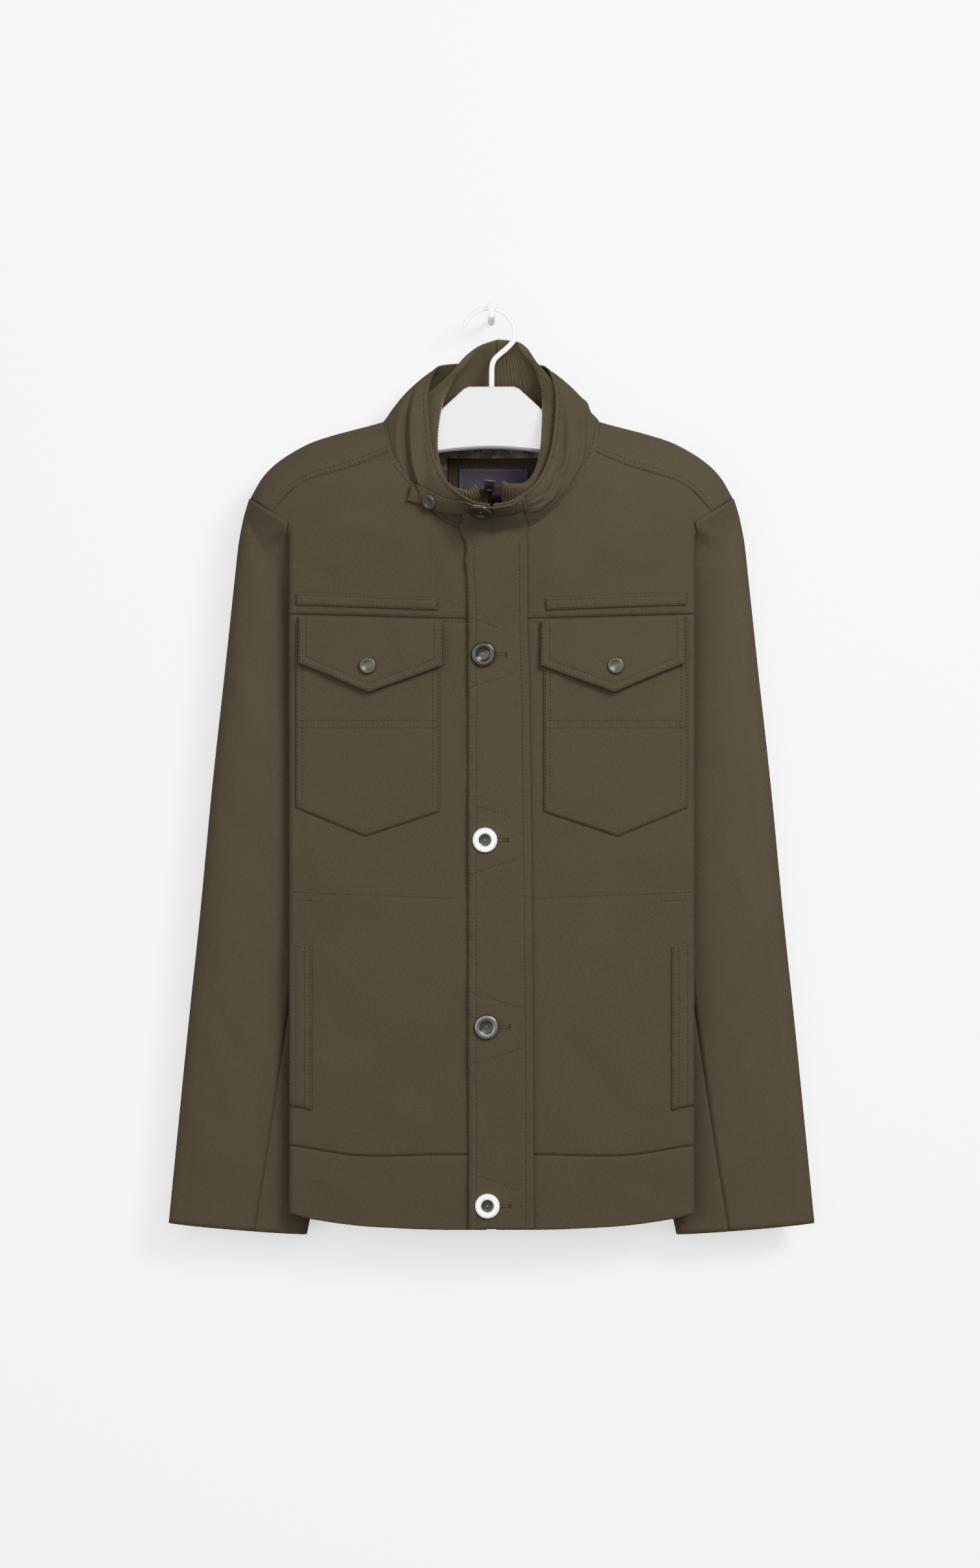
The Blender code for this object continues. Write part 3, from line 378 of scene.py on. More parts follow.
def flatPlaces(points):
    # how far each point lies across and along the cloth
    across = np.linalg.norm(np.diff(points, axis=1), axis=2)
    along = np.linalg.norm(np.diff(points, axis=0), axis=2)
    u = np.hstack([np.zeros((len(points), 1)), np.cumsum(across, axis=1)])
    v = np.vstack([np.zeros((1, points.shape[1])), np.cumsum(along, axis=0)])
    return np.stack([u, v], -1)


def gridMesh(name, points, flip=False):
    # a flat grid moved onto the surface, with its cut laid out in its UV map
    rows, columns = points.shape[:2]
    sheet = bmesh.new()
    bmesh.ops.create_grid(sheet, x_segments=columns - 1, y_segments=rows - 1, size=0.5)
    if flip:
        bmesh.ops.reverse_faces(sheet, faces=sheet.faces)
    mesh = bpy.data.meshes.new(name)
    sheet.to_mesh(mesh)
    sheet.free()
    start = np.empty(len(mesh.vertices) * 3, np.float32)
    mesh.vertices.foreach_get("co", start)
    start = start.reshape(-1, 3)
    column = np.rint((start[:, 0] + 0.5) * (columns - 1)).astype(int)
    row = np.rint((start[:, 1] + 0.5) * (rows - 1)).astype(int)
    mesh.vertices.foreach_set("co", (points[row, column] * mm).astype(np.float32).ravel())
    corner = np.empty(len(mesh.loops), np.int32)
    mesh.loops.foreach_get("vertex_index", corner)
    cut = (flatPlaces(points) * mm)[row, column]
    layer = mesh.uv_layers.new(name="cut")
    layer.data.foreach_set("uv", cut[corner].astype(np.float32).ravel())
    mesh.update()
    mesh.shade_smooth()
    return mesh


def clothPiece(name, points, cut, thick, node, flip=False, hangs=("hanger",), look="shell", slotName="shell"):
    item = addPiece(name, gridMesh(name, points, flip), look, slotName, (node,))
    wall = item.modifiers.new("wall", "SOLIDIFY")
    wall.thickness = thick * mm
    wall.offset = -1.0
    wall.use_rim = True


def mirrored(points, side):
    return points * np.array([side, 1, 1])


stitchPlaces = {}


def addStitch(group, run, spot, out, thick):
    turn = Matrix((run.normalized(), out.cross(run.normalized()), out)).transposed().to_4x4()
    size = Matrix.Diagonal((run.length / 2, thick / 2, thick / 2, 1))
    place = Matrix.Scale(mm, 4) @ Matrix.Translation(spot) @ turn @ size
    stitchPlaces.setdefault(group, []).append(place)


def sewRow(group, place, line, outward=(0, -1, 0), pitch=stitch["pitch"], long=stitch["long"]):
    # stitches along a line of the piece's own coordinates
    line = np.array(line, float)
    steps = np.linalg.norm(np.diff(line, axis=0), axis=1)
    reach = np.concatenate([[0], np.cumsum(steps)])
    centres = np.arange(pitch / 2, reach[-1], pitch)

    def at(distance):
        return np.interp(distance, reach, line[:, 0]), np.interp(distance, reach, line[:, 1])

    a0, b0 = at(centres - long / 2)
    a1, b1 = at(centres + long / 2)
    start, end = place(a0, b0), place(a1, b1)
    side = place((a0 + a1) / 2 - (b1 - b0) * 0.2, (b0 + b1) / 2 + (a1 - a0) * 0.2)
    middle = (start + end) / 2
    for first, last, centre, beside in zip(start, end, middle, side):
        run = Vector(last - first)
        if run.length < stitch["shortest"]:
            continue
        out = run.cross(Vector(beside - centre))
        out = out.normalized() if out.length > 1e-6 else Vector(outward)
        if out.dot(Vector(outward)) < 0:
            out = -out
        spot = Vector(centre) + out * stitch["thick"] * stitch["rise"]
        addStitch(group, run, spot, out, stitch["thick"])


def makeStitches(name, places, look, slotName):
    # small capsules, made a batch at a time and joined
    whole = bmesh.new()
    for start in range(0, len(places), stitch["batch"]):
        batch = bmesh.new()
        for place in places[start:start + stitch["batch"]]:
            bmesh.ops.create_uvsphere(batch, u_segments=6, v_segments=4, radius=1.0, matrix=place)
        part = bpy.data.meshes.new("batch")
        batch.to_mesh(part)
        batch.free()
        whole.from_mesh(part)
        bpy.data.meshes.remove(part)
    mesh = bpy.data.meshes.new(name)
    whole.to_mesh(mesh)
    whole.free()
    mesh.shade_smooth()
    addPiece(name, mesh, look, slotName)


sides = ((1, "Left"), (-1, "Right"))


def sideStops(length, cells):
    # where the columns stop round the side fold and along the tuck behind it
    bendCells, tuckCells = cells["bendCells"], cells["tuckCells"]
    k = np.arange(1, bendCells + 1)
    arc = math.pi * body["foldRadius"]
    bend = np.minimum(k * arc / bendCells, k * length / (bendCells + tuckCells))
    tuck = mix(bend[:, -1:], length, np.arange(1, tuckCells + 1) / tuckCells)
    return np.hstack([bend, tuck])


# Fronts

fronts = {"flatCells": (52, 50), "bendCells": 10, "tuckCells": 7,
          "chestRows": 66, "skirtRows": 176, "hemRows": 32, "tuck": 1.2, "tuckIn": (0.5, 1.3),
          "neckRoll": (0.2, 0.5), "besideSeam": 2.4, "besideHem": 2.0,
          "cuts": {"chest": (0.247, 0.151, 0.0232), "skirt": (0.271, 0.487, 0.1261),
                   "hem": (0.271, 0.069, 0.0174)}}
gap = body["seamGap"]
tuckUp = gap + fronts["tuck"]


def offset(curve, step):
    return lambda x: curve(x) + step


def chestTop(x):
    return np.where(x < body["yokeStart"], neckFront(x) - gap, yokeSeam(x) + tuckUp)


def frontPlaces(bottom, top, endBottom, endTop, rows):
    # rows from a lower to an upper seam, out to the side seam or the armhole
    fold = frontSide["fold"] - body["foldRadius"]
    inner, outer = fronts["flatCells"]
    flat = np.concatenate([np.linspace(body["frontEdge"], body["yokeStart"], inner),
                           np.linspace(body["yokeStart"], fold, outer)[1:]])
    part = np.linspace(0, 1, rows)[:, None]
    flat = np.broadcast_to(flat, (rows, len(flat)))
    endZ = mix(endBottom, endTop, part)
    length = frontLap(endZ) - gap
    stops = sideStops(length, fronts)
    foldZ = mix(bottom(np.array(fold)), top(np.array(fold)), part)
    z = np.hstack([mix(bottom(flat), top(flat), part), mix(foldZ, endZ, stops / length)])
    return np.hstack([flat, fold + stops]), z


def along(curve, start, end, step, count=24):
    # a row of stitches beside a seam
    return [(x, float(curve(x)) + step) for x in np.linspace(start, end, count)]


chestRows = [along(chestSeam, 4, 176, fronts["besideSeam"])]
skirtRows = [along(chestSeam, 4, 176, -fronts["besideSeam"]),
             [(36, -526.5), (60, -525), (110, -523.5), (178, -521)], [(150, -529), (178, -527.5)],
             along(hemSeam, 36, 177, fronts["besideHem"])]


def signed(rows, side):
    return [[(side * x, z) for x, z in line] for line in rows]


def frontLayer(side, rows):
    # a function of p and z that gives points on this side's front, folds and stitch grooves included
    def place(p, z):
        return mirrored(folded(frontSide, p, z, frontRelief(side * p, z, signed(rows, side))), side)
    return place


for side, word in sides:
    parts = {
        "chest": (frontPlaces(offset(chestSeam, gap), chestTop, body["chestSide"] + gap,
                              body["yokeEnd"] + tuckUp, fronts["chestRows"]), chestRows),
        "skirt": (frontPlaces(offset(hemSeam, gap), offset(chestSeam, tuckUp), body["hemSide"] + gap,
                              body["chestSide"] + tuckUp, fronts["skirtRows"]), skirtRows),
        "hem": (frontPlaces(hemEdge, offset(hemSeam, tuckUp), body["hemEdgeSide"],
                            body["hemSide"] + tuckUp, fronts["hemRows"]), [])}
    for name, ((p, z), rows) in parts.items():
        layer = frontLayer(side, rows)
        points = layer(p, z)
        # the edge rolls in at its seams, and tucks in behind the piece above
        edge = np.zeros(points.shape[:2])
        edge[0] = 0 if name == "hem" else body["edgeRoll"]
        atNeck = (name == "chest") & (p[-1] < body["yokeStart"])
        for row in (-2, -1):
            edge[row] = np.where(atNeck, fronts["neckRoll"][row], fronts["tuckIn"][row])
        points[..., 1] += edge
        clothPiece(name + word, points, fronts["cuts"][name], body["cloth"], name + "_" + word.lower(),
                   side < 0)
        for line in rows:
            sewRow("front" + word, layer, line)
print("fronts laid")


# Shoulder yokes

yoke = {"ridge": (98.2, 111, 125, 140, 155, 170.7, 186.6, 202.5, 218.4),
        "seam": (92.7, 101, 110, 130, 150, 165, 177, 187, 197.3), "columns": 64, "rows": 34,
        "cut": (0.145, 0.052, 0.0063), "topstitch": (1.6, 6.2), "long": 120.0, "deep": 42.0}


def yokeSurface(share, part, lift=0.0):
    # share runs from the neck to the sleeve, part from the ridge down to the yoke seam
    step = np.asarray(share) * (len(yoke["ridge"]) - 1)
    topX = np.interp(step, range(len(yoke["ridge"])), yoke["ridge"])
    lowX = np.interp(step, range(len(yoke["seam"])), yoke["seam"])
    x = mix(topX, lowX, part)
    z = mix(shoulder(topX), yokeSeam(lowX) + gap, part)
    z = np.minimum(z, shoulder(x))
    return np.stack([x, frontY(x, z) - lift * ridgeShare(x, z), z], -1)


def onYoke(line):
    return [(a * yoke["long"], b * yoke["deep"]) for a, b in line]


yokeRows = [onYoke([(s, 1 - away / yoke["deep"]) for s in np.linspace(0.01, 0.99, 24)])
            for away in yoke["topstitch"]]
share, part = np.meshgrid(np.linspace(0, 1, yoke["columns"]), np.linspace(1, 0, yoke["rows"]) ** 2)
for side, word in sides:
    def yokeLayer(a, b, side=side):
        # coordinates in mm: along the yoke from the neck, and down it
        return mirrored(yokeSurface(a / yoke["long"], b / yoke["deep"], rowDent(a, b, yokeRows)), side)
    points = yokeLayer(share * yoke["long"], part * yoke["deep"])
    clothPiece("yoke" + word, points, yoke["cut"], body["cloth"], "yoke_" + word.lower(), side < 0)
    for line in yokeRows:
        sewRow("front" + word, yokeLayer, line)
print("yokes laid")


# Back

back = {"neckCells": 41, "shoulderCells": 30, "bendCells": 8, "tuckCells": 10, "rows": 116, "bandRows": 24,
        "rowsCloser": 2.2, "shoulder": (155.0, 218.6),
        "cut": (0.510, 0.666, 0.2787), "bandCut": (0.461, 0.062, 0.0278)}


def backTop(x):
    return np.where(x < body["neckX"], neckBack(x) - gap, shoulder(x))


def backPlaces(bottom, top, endBottom, endTop, part):
    # one half of the back, from the centre out to the side seam or the armhole
    fold = backSide["fold"] - body["foldRadius"]
    flat = np.concatenate([np.linspace(0, body["neckX"], back["neckCells"]),
                           np.linspace(body["neckX"], fold, back["shoulderCells"])[1:]])
    part = np.asarray(part)[:, None]
    flat = np.broadcast_to(flat, (len(part), len(flat)))
    length = backLap(mix(endBottom, endTop(np.array(1.0)), part)) - gap
    stops = sideStops(length, back)
    share = stops / length
    lapZ = mix(mix(bottom(np.array(fold)), endBottom, share), endTop(share), part)
    z = np.hstack([mix(bottom(flat), top(flat), part), lapZ])
    return np.hstack([flat, fold + stops]), z


def backShoulder(share):
    return shoulder(mix(*back["shoulder"], np.asarray(share)))


def bandEnd(share):
    return np.full(np.shape(share), body["hemSide"] + tuckUp)


def backLayer(p, z, side=1, rows=()):
    flat = nearEdge(p, backSide) * ridgeShare(p, z)
    lift = creaseHeight(side * p, z, backCreases) * flat + rowDent(p, z, rows)
    return mirrored(folded(backSide, p, z, lift), side)


def wholeBack(p, z, rows=()):
    return np.concatenate([backLayer(p, z, -1, rows)[:, :0:-1], backLayer(p, z, 1, rows)], axis=1)


backRows = [along(hemSeamBack, 0.5, 150, fronts["besideHem"])]
rise = 1 - (1 - np.linspace(0, 1, back["rows"])) ** back["rowsCloser"]
p, z = backPlaces(offset(hemSeamBack, gap), backTop, body["hemSide"] + gap, backShoulder, rise)
clothPiece("backPanel", wholeBack(p, z, backRows), back["cut"], body["cloth"], "back_panel", True)
p, z = backPlaces(hemEdgeBack, offset(hemSeamBack, tuckUp), body["hemEdgeBackSide"], bandEnd,
                  np.linspace(0, 1, back["bandRows"]))
band = wholeBack(p, z)
for row in (-2, -1):
    band[row, :, 1] -= fronts["tuckIn"][row]
clothPiece("hemBack", band, back["bandCut"], body["cloth"], "hem_back", True)
for side in (1, -1):
    for line in backRows:
        sewRow("back", lambda a, b: backLayer(a, b, side, backRows), line, (0, 1, 0))
print("back laid")


# Sleeves

sleeve = {"y": -43.5, "clear": 1.3, "taper": 9.0, "under": 1.6, "cover": 2.4, "coverAt": 0.12,
          "coverWidth": 0.04, "seam": 0.63, "step": 0.0015, "tuck": 1.4, "tuckIn": 1.2, "tuckFade": 3.0,
          "wide": 130.0, "ringStep": 80.0, "lastRing": 8, "topColumns": 72, "underColumns": 40, "rows": 150,
          "capRows": 7, "clearOver": 0.1, "dipOver": 0.15, "calmOutside": 0.1, "calmInside": 0.12,
          "calmCap": (0.6, 0.8),
          "topCut": (0.385, 0.661, 0.1211), "underCut": (0.187, 0.541, 0.0540), "cuffStitch": 0.925,
          "seamStitch": (3.0, 9.5), "seamStitchDown": (470, 718),
          "creasesFront": [(232, -300, 188, -420, 14, 1.5), (246, -420, 196, -520, 15, -1.3),
                           (205, -470, 250, -600, 13, 1.2), (262, -600, 210, -690, 12, -1.1),
                           (200, -610, 240, -740, 12, 1.0), (214, -205, 196, -300, 9, 1.1),
                           (272, -700, 236, -790, 11, 0.9)],
          "creasesBack": [(236, -320, 180, -430, 15, 1.6), (200, -440, 252, -540, 14, -1.5),
                          (258, -560, 196, -660, 15, 1.4), (206, -680, 262, -770, 13, -1.0)]}
rings = Curve(*[(k, *ring) for k, ring in enumerate([
    (223.0, -182, 109, -398, 15, 2.0), (227.5, -205, 108, -405, 16, 2.0), (232.5, -250, 107, -418, 17, 1.9),
    (240.5, -325, 107, -440, 18, 1.7), (252.0, -430, 111, -490, 18, 1.4), (262.5, -540, 122, -575, 17, 1.1),
    (273.0, -640, 136, -662, 16, 0.9), (282.5, -735, 152, -750, 14, 0.7),
    (291.0, -821, 168, -831, 12, 0.5)])])
lastRing = sleeve["lastRing"]


def ringPoint(ring, part, forward):
    # a section that is rounded outside and thin where it tucks behind the body
    taper = rings(ring, 5)
    peak = 0.5 / (0.5 + taper)
    swell = np.sqrt(part) * (1 - part) ** taper / (np.sqrt(peak) * (1 - peak) ** taper)
    x = mix(rings(ring, 0), rings(ring, 2), part)
    z = mix(rings(ring, 1), rings(ring, 3), part)
    return np.stack([x, sleeve["y"] + forward * rings(ring, 4) * swell, z], -1)


def armholePoint(part, forward):
    side = frontSide if forward < 0 else backSide
    z = mix(body["shoulderEnd"], body["underarm"], part)
    return folded(side, side["fold"] - body["foldRadius"] + side["lap"](z), z, 0.0)


def sleeveSurface(down, part, forward):
    # down runs from minus one at the armhole, over nought at the first ring, to the cuff
    part = np.asarray(part, float)
    down = np.asarray(down, float)
    first = ringPoint(np.zeros(part.shape), part, forward)
    seam = np.where(np.asarray(forward)[..., None] < 0, armholePoint(part, -1), armholePoint(part, 1))
    way = first - seam
    way = way / np.linalg.norm(way, axis=-1, keepdims=True)
    clear = sleeve["clear"] * np.minimum(part / sleeve["clearOver"], 1)
    behind = np.minimum(clear, sleeve["taper"] * (1 - part))
    # at the front's fold the sleeve comes forward over the end of the armhole
    behind = behind - sleeve["cover"] * np.exp(-((part - sleeve["coverAt"]) / sleeve["coverWidth"]) ** 2)
    start = seam - way * sleeve["under"]
    start[..., 1] -= forward * behind
    start[..., 2] -= sleeve["clear"] * (1 - smooth(part / sleeve["dipOver"]))
    cap = mix(start, first, np.clip(down + 1, 0, 1)[..., None])
    points = np.where((down < 0)[..., None], cap, ringPoint(np.maximum(down, 0), part, forward))
    fade = smooth(part / sleeve["calmOutside"]) * smooth((1 - part) / sleeve["calmInside"])
    fade = fade * smooth((down + sleeve["calmCap"][0]) / sleeve["calmCap"][1])
    front = creaseHeight(points[..., 0], points[..., 2], sleeve["creasesFront"])
    rear = creaseHeight(points[..., 0], points[..., 2], sleeve["creasesBack"])
    points[..., 1] += forward * np.where(np.asarray(forward) < 0, front, rear) * fade
    return points


def sleeveLayer(side, dents, tuckIn=0.0):
    # coordinates in mm: across the sleeve, minus on its back, and down it
    def place(across, down):
        part = np.abs(across) / sleeve["wide"]
        forward = np.where(across >= 0, -1.0, 1.0)
        points = sleeveSurface(down / sleeve["ringStep"] - 1, part, forward)
        inside = (np.abs(across) - seamAcross + sleeve["tuck"]) / sleeve["tuckFade"]
        tucked = tuckIn * (1 - smooth(inside))
        points[..., 1] += forward * (rowDent(across, down, dents) - tucked)
        return mirrored(points, side)
    return place


cuffDown = (1 + lastRing * sleeve["cuffStitch"]) * sleeve["ringStep"]
seamAcross = sleeve["seam"] * sleeve["wide"]
topRows = [[(a, cuffDown) for a in np.linspace(-seamAcross + 1, seamAcross - 1, 40)]]
topRows += [[(seamAcross - away, d) for d in np.linspace(*sleeve["seamStitchDown"], 30)]
            for away in sleeve["seamStitch"]]
underRows = [[(a, cuffDown) for a in np.linspace(seamAcross + 1, sleeve["wide"] - 4, 20)]]
capDowns = np.linspace(-1, 0, sleeve["capRows"])[:-1]
downs = np.concatenate([capDowns, np.linspace(0, lastRing, sleeve["rows"])])
sweep = np.linspace(1, -1, sleeve["topColumns"])
topAcross = np.sign(sweep) * sweep ** 2 * (seamAcross - sleeve["step"] * sleeve["wide"])
sweep = np.linspace(-1, 1, sleeve["underColumns"] + 1)
underAcross = np.where(sweep < 0, -1, 1) * mix(sleeve["wide"], seamAcross - sleeve["tuck"], np.abs(sweep))
for side, word in sides:
    for name, node, across, rows, tuckIn, cut in (
            ("sleeveTop", "sleeve_top_", topAcross, topRows, 0.0, sleeve["topCut"]),
            ("sleeveUnder", "sleeve_under_", underAcross, underRows, sleeve["tuckIn"], sleeve["underCut"])):
        layer = sleeveLayer(side, rows, tuckIn)
        a, d = np.meshgrid(across, (downs + 1) * sleeve["ringStep"])
        clothPiece(name + word, layer(a, d), cut, body["cloth"], node + word.lower(), side < 0, look="sleeve")
        for line in rows:
            sewRow("sleeve" + word, layer, line)
print("sleeves laid")


# Pockets, flaps and welts

onPanel = body["layerGap"] + body["cloth"]
onPocket = onPanel + body["layerGap"] + body["double"]
patches = {
    "pocket": {"x": (46.4, 80, 113, 145, 175.5), "top": (-284, -283, -282, -281, -280),
               "low": (-448.5, -459.6, -470.6, -457.4, -445), "lift": onPanel, "kick": 0, "cells": (70, 84),
               "thick": 1.2, "cut": (0.138, 0.189, 0.0229)},
    "flap": {"x": (44, 76, 109.6, 141, 173), "top": (-278.4, -277.5, -276.4, -275.4, -274.4),
             "low": (-318, -330, -342, -328.5, -315.5), "lift": onPocket, "kick": 3.0, "cells": (72, 36),
             "thick": 2.0, "cut": (0.140, 0.066, 0.0069)},
    "welt": {"x": (48, 90, 132, 175), "top": (-258.5, -256.8, -255, -253.3),
             "low": (-268.8, -267.1, -265.4, -263.7), "lift": onPanel, "kick": 0, "cells": (72, 10),
             "thick": 1.2, "cut": (0.128, 0.0105, 0.00133)},
    "hand_welt": {"x": (161, 170, 177, 181), "top": (-570, -568, -566.5, -565.5),
                  "low": (-715.7, -714, -712.6, -712), "lift": onPanel, "kick": 0, "cells": (14, 76),
                  "thick": 1.2, "cut": (0.0221, 0.147, 0.00315)}}


def edgeRoll(border):
    # a turned edge sinks a little over its last millimetre
    return body["edgeRoll"] * np.exp(-(np.maximum(border, 0) / body["edgeWidth"]) ** 2)


insetRow = {"points": 25, "slope": 1.06, "fromTop": 0.6, "fromSide": 1.5}
flapCurl = ((0.7, 0.07, 1), (0.5, 0.19, 0))


def ripple(at, waves, phase=1):
    # small waves along an edge: how high, how close and where each one starts
    return sum(high * np.sin(at * close + start * phase) for high, close, start in waves)


def inset(patch, by):
    # the patch's outline moved inwards, from its top inner corner down, along and up again
    x, top, low = (np.array(patch[key], float) for key in ("x", "top", "low"))
    reach = np.linspace(x[0] + by, x[-1] - by, insetRow["points"])
    ends = np.interp(reach, x, low) + by * insetRow["slope"]
    first, last = [(at, float(np.interp(at, x, top)) - insetRow["fromTop"]) for at in reach[[0, -1]]]
    return [first] + list(zip(reach, ends)) + [last]


def crossRow(patch, height):
    start, end = patch["x"][0] + insetRow["fromSide"], patch["x"][-1] - insetRow["fromSide"]
    return [(x, height) for x in np.linspace(start, end, 12)]


patchRows = {
    "pocket": [inset(patches["pocket"], 1.6), crossRow(patches["pocket"], -367.5),
               crossRow(patches["pocket"], -373.9), [(52.4, -300), (52.4, -442)],
               [(169.5, -300), (169.5, -439)]],
    "flap": [inset(patches["flap"], 1.6), inset(patches["flap"], 7.4)],
    "welt": [inset(patches["welt"], 1.4), [(49.4, -260.0), (90, -258.3), (132, -256.5), (173.6, -254.9)]],
    "hand_welt": [[(162.6, -569.5), (162.6, -713.5)], [(167.5, -569), (167.5, -713.4)],
                  [(175.5, -567), (175.5, -712)], [(162, -571.6), (180, -567.4)],
                  [(162, -713.5), (180, -710.4)]]}


def patchLayer(side, name):
    patch = patches[name]
    x, top, low = (np.array(patch[key], float) for key in ("x", "top", "low"))

    def place(p, z):
        p, z = np.broadcast_arrays(np.asarray(p, float), np.asarray(z, float))
        upper, lower = np.interp(p, x, top), np.interp(p, x, low)
        part = np.clip((upper - z) / (upper - lower), 0, 1)
        border = np.minimum(np.minimum(p - x[0], x[-1] - p), np.minimum(upper - z, z - lower))
        lift = patch["lift"] + patch["kick"] * part ** 2 - edgeRoll(border)
        dent = rowDent(p, z, patchRows[name])
        if patch["kick"]:  # the flap curls a little, and not evenly
            lift = lift + part * ripple(p, flapCurl, side)
        return mirrored(folded(frontSide, p, z, lift + dent + frontRelief(side * p, z)), side)
    return place


for side, word in sides:
    for name, patch in patches.items():
        columns, rows = patch["cells"]
        u, v = np.meshgrid(np.linspace(patch["x"][0], patch["x"][-1], columns + 1),
                           np.linspace(0, 1, rows + 1))
        z = mix(np.interp(u, patch["x"], patch["low"]), np.interp(u, patch["x"], patch["top"]), v)
        layer = patchLayer(side, name)
        panel = "chest" if name == "welt" else "skirt"
        clothPiece(name.replace("_w", "W") + word, layer(u, z), patch["cut"], patch["thick"],
                   name + "_" + word.lower(), side < 0, (panel + word,))
        for line in patchRows[name]:
            sewRow("pocket" + word, layer, line)
print("pockets laid")


# Placket

placket = {"edges": Curve((-822, -20.5, 38), (-640, -21, 37), (-480, -21, 35.5), (-330, -21, 33.5),
                          (-275, -21, 32), (-237, -22.6, 31.8), (-225, -23.8, 31.7), (-216, -22.8, 31.6),
                          (-208, -24.0, 31.3), (-201.5, -27.4, 30.8)),
           "lift": 2.8, "cells": (44, 250), "cut": (0.0636, 0.655, 0.0369), "low": -822, "high": -203.5,
           "overCollar": (0.05, 0.1, 0.15, 0.2, 0.26, 0.32, 0.38, 0.44, 0.5, 0.56, 0.62, 0.7),
           "stations": (-1.62, 1.77), "onCollar": 2.4, "underTab": 0.8, "freeWidth": 9.0, "freeLift": 0.8,
           "freeWaves": ((0.7, 0.037, 0.6), (0.4, 0.11, 0)),
           "edgeStitch": ((0, 1.4, -206), (0, 7.2, -206), (1, -7.0, -204)), "stitchLow": -819,
           "slants": [(-18.8, -275, 6.7, -284.8), (20.0, -326, -21, -338.2), (-17.7, -442, 16.5, -453),
                      (23.5, -490, -20, -505.2), (-17.7, -609.6, 23.5, -623), (27.5, -660, -20, -675.1),
                      (-17.7, -772, 24.7, -787)]}
placketRows = [[(float(placket["edges"](z, edge)) + away, z)
                for z in np.linspace(placket["stitchLow"], high, 60)]
               for edge, away, high in placket["edgeStitch"]]
placketRows += [[(x0, z0), (x1, z1)] for x0, z0, x1, z1 in placket["slants"]]


def placketLayer(x, z):
    x, z = np.broadcast_arrays(np.asarray(x, float), np.asarray(z, float))
    left, right = placket["edges"](z), placket["edges"](z, 1)
    border = np.minimum(x - left, right - x)
    lift = placket["lift"] - edgeRoll(border)
    # the free edge lifts and sinks a little between the buttons
    free = np.exp(-(np.maximum(x - left, 0) / placket["freeWidth"]) ** 2)
    lift = lift + free * (placket["freeLift"] + ripple(z, placket["freeWaves"]))
    lift = lift + rowDent(x, z, placketRows) + frontRelief(x, z)
    return np.stack([x, frontY(x, z) - lift, z], -1)


# Collar

collar = {"centreFront": 0.12, "centreBack": 7.9, "columns": 220, "rows": 58, "cut": (0.567, 0.080, 0.0278),
          "stationStep": 22.0, "tall": 58.0, "below": -0.03, "stitchHeights": (52.0, 5.0), "neckPoint": 6,
          "creases": [(-128, 46, -64, 3, 4.5, 3.2), (-134, 38, -68, -5, 4.0, -3.6),
                      (-124, 22, -90, 0, 5, 1.6), (-114, 54, -66, 26, 6, -1.4),
                      (146, 16, 96, 27, 4.5, 1.5), (146, 8, 98, 18, 4.5, -1.5), (120, 27, 66, -1, 4.5, 2.4),
                      (114, 17, 64, -8, 4.0, -2.2), (118, 47, 56, 19, 4.5, 1.9), (114, 55, 54, 28, 4.0, -1.5),
                      (90, 16, 48, 48, 4, -1.2), (76, 12, 40, 40, 3.5, 1.2), (44, 40, 66, 30, 2.2, 1.4),
                      (44, 34, 62, 22, 2.0, -1.3), (42, 27, 60, 15, 2.0, 1.2), (160, 14, 172, 50, 8, 1.4),
                      (-160, 12, -170, 50, 8, -1.4)]}
collarTop = Curve((0, 0, -127, -179.5), (1, 14, -125, -177), (2, 27, -118, -169.5), (3, 42, -103, -153),
                  (4, 54, -80, -118), (5, 57.5, -58, -77), (6, 48, -35, -44.5), (7, 25, -23, -41),
                  (8, 0, -22, -41))
collarBulge = Curve((0, -2), (1.5, -1), (3, 4), (8, 4))
collarFrontX = Curve((0, 0), (1, 16), (2, 36), (3, 58), (4, 80), (5, 94), (6, 98))
collarBackX = Curve((6, 98), (7, 55), (8, 0))


def collarBase(station):
    place = np.abs(station)
    front = collarFrontX(place)
    rear = collarBackX(place)
    frontZ, rearZ = neckFront(front), neckBack(rear)
    ahead = place <= collar["neckPoint"]
    x = np.where(ahead, front, rear)
    y = np.where(ahead, frontY(front, frontZ), backY(rear, rearZ))
    return np.stack([np.where(station >= 0, 1, -1) * x, y, np.where(ahead, frontZ, rearZ)], -1)


def edgePoint(table, station, sign):
    place = np.abs(station)
    return np.stack([sign * table(place), table(place, 1), table(place, 2)], -1)


def collarPoint(station, part, lift=0.0):
    station, part, lift = np.broadcast_arrays(np.asarray(station, float), np.asarray(part, float),
                                              np.asarray(lift, float))
    sign = np.where(station >= 0, 1, -1)
    base, top = collarBase(station), edgePoint(collarTop, station, sign)
    ahead = collarBase(station + 0.05) + edgePoint(collarTop, station + 0.05, sign) - base - top
    outward = np.cross(ahead, top - base)
    outward = outward / np.linalg.norm(outward, axis=-1, keepdims=True)
    away = lift + collarBulge(np.abs(station)) * np.sin(math.pi * part)
    return base + (top - base) * part[..., None] + outward * away[..., None]


def collarRelief(station, part):
    fade = smooth(part / 0.15)
    return creaseHeight(station * collar["stationStep"], part * collar["tall"], collar["creases"]) * fade


collarRows = [[(sign * s * collar["stationStep"], height) for s in np.linspace(0.2, 7.8, 90)]
              for height in collar["stitchHeights"] for sign in (1, -1)]


def collarLayer(a, b):
    # coordinates in mm: round the collar, minus on the wearer's right, and up it
    station, part = np.asarray(a) / collar["stationStep"], np.asarray(b) / collar["tall"]
    return collarPoint(station, part, collarRelief(station, part) + rowDent(a, b, collarRows))


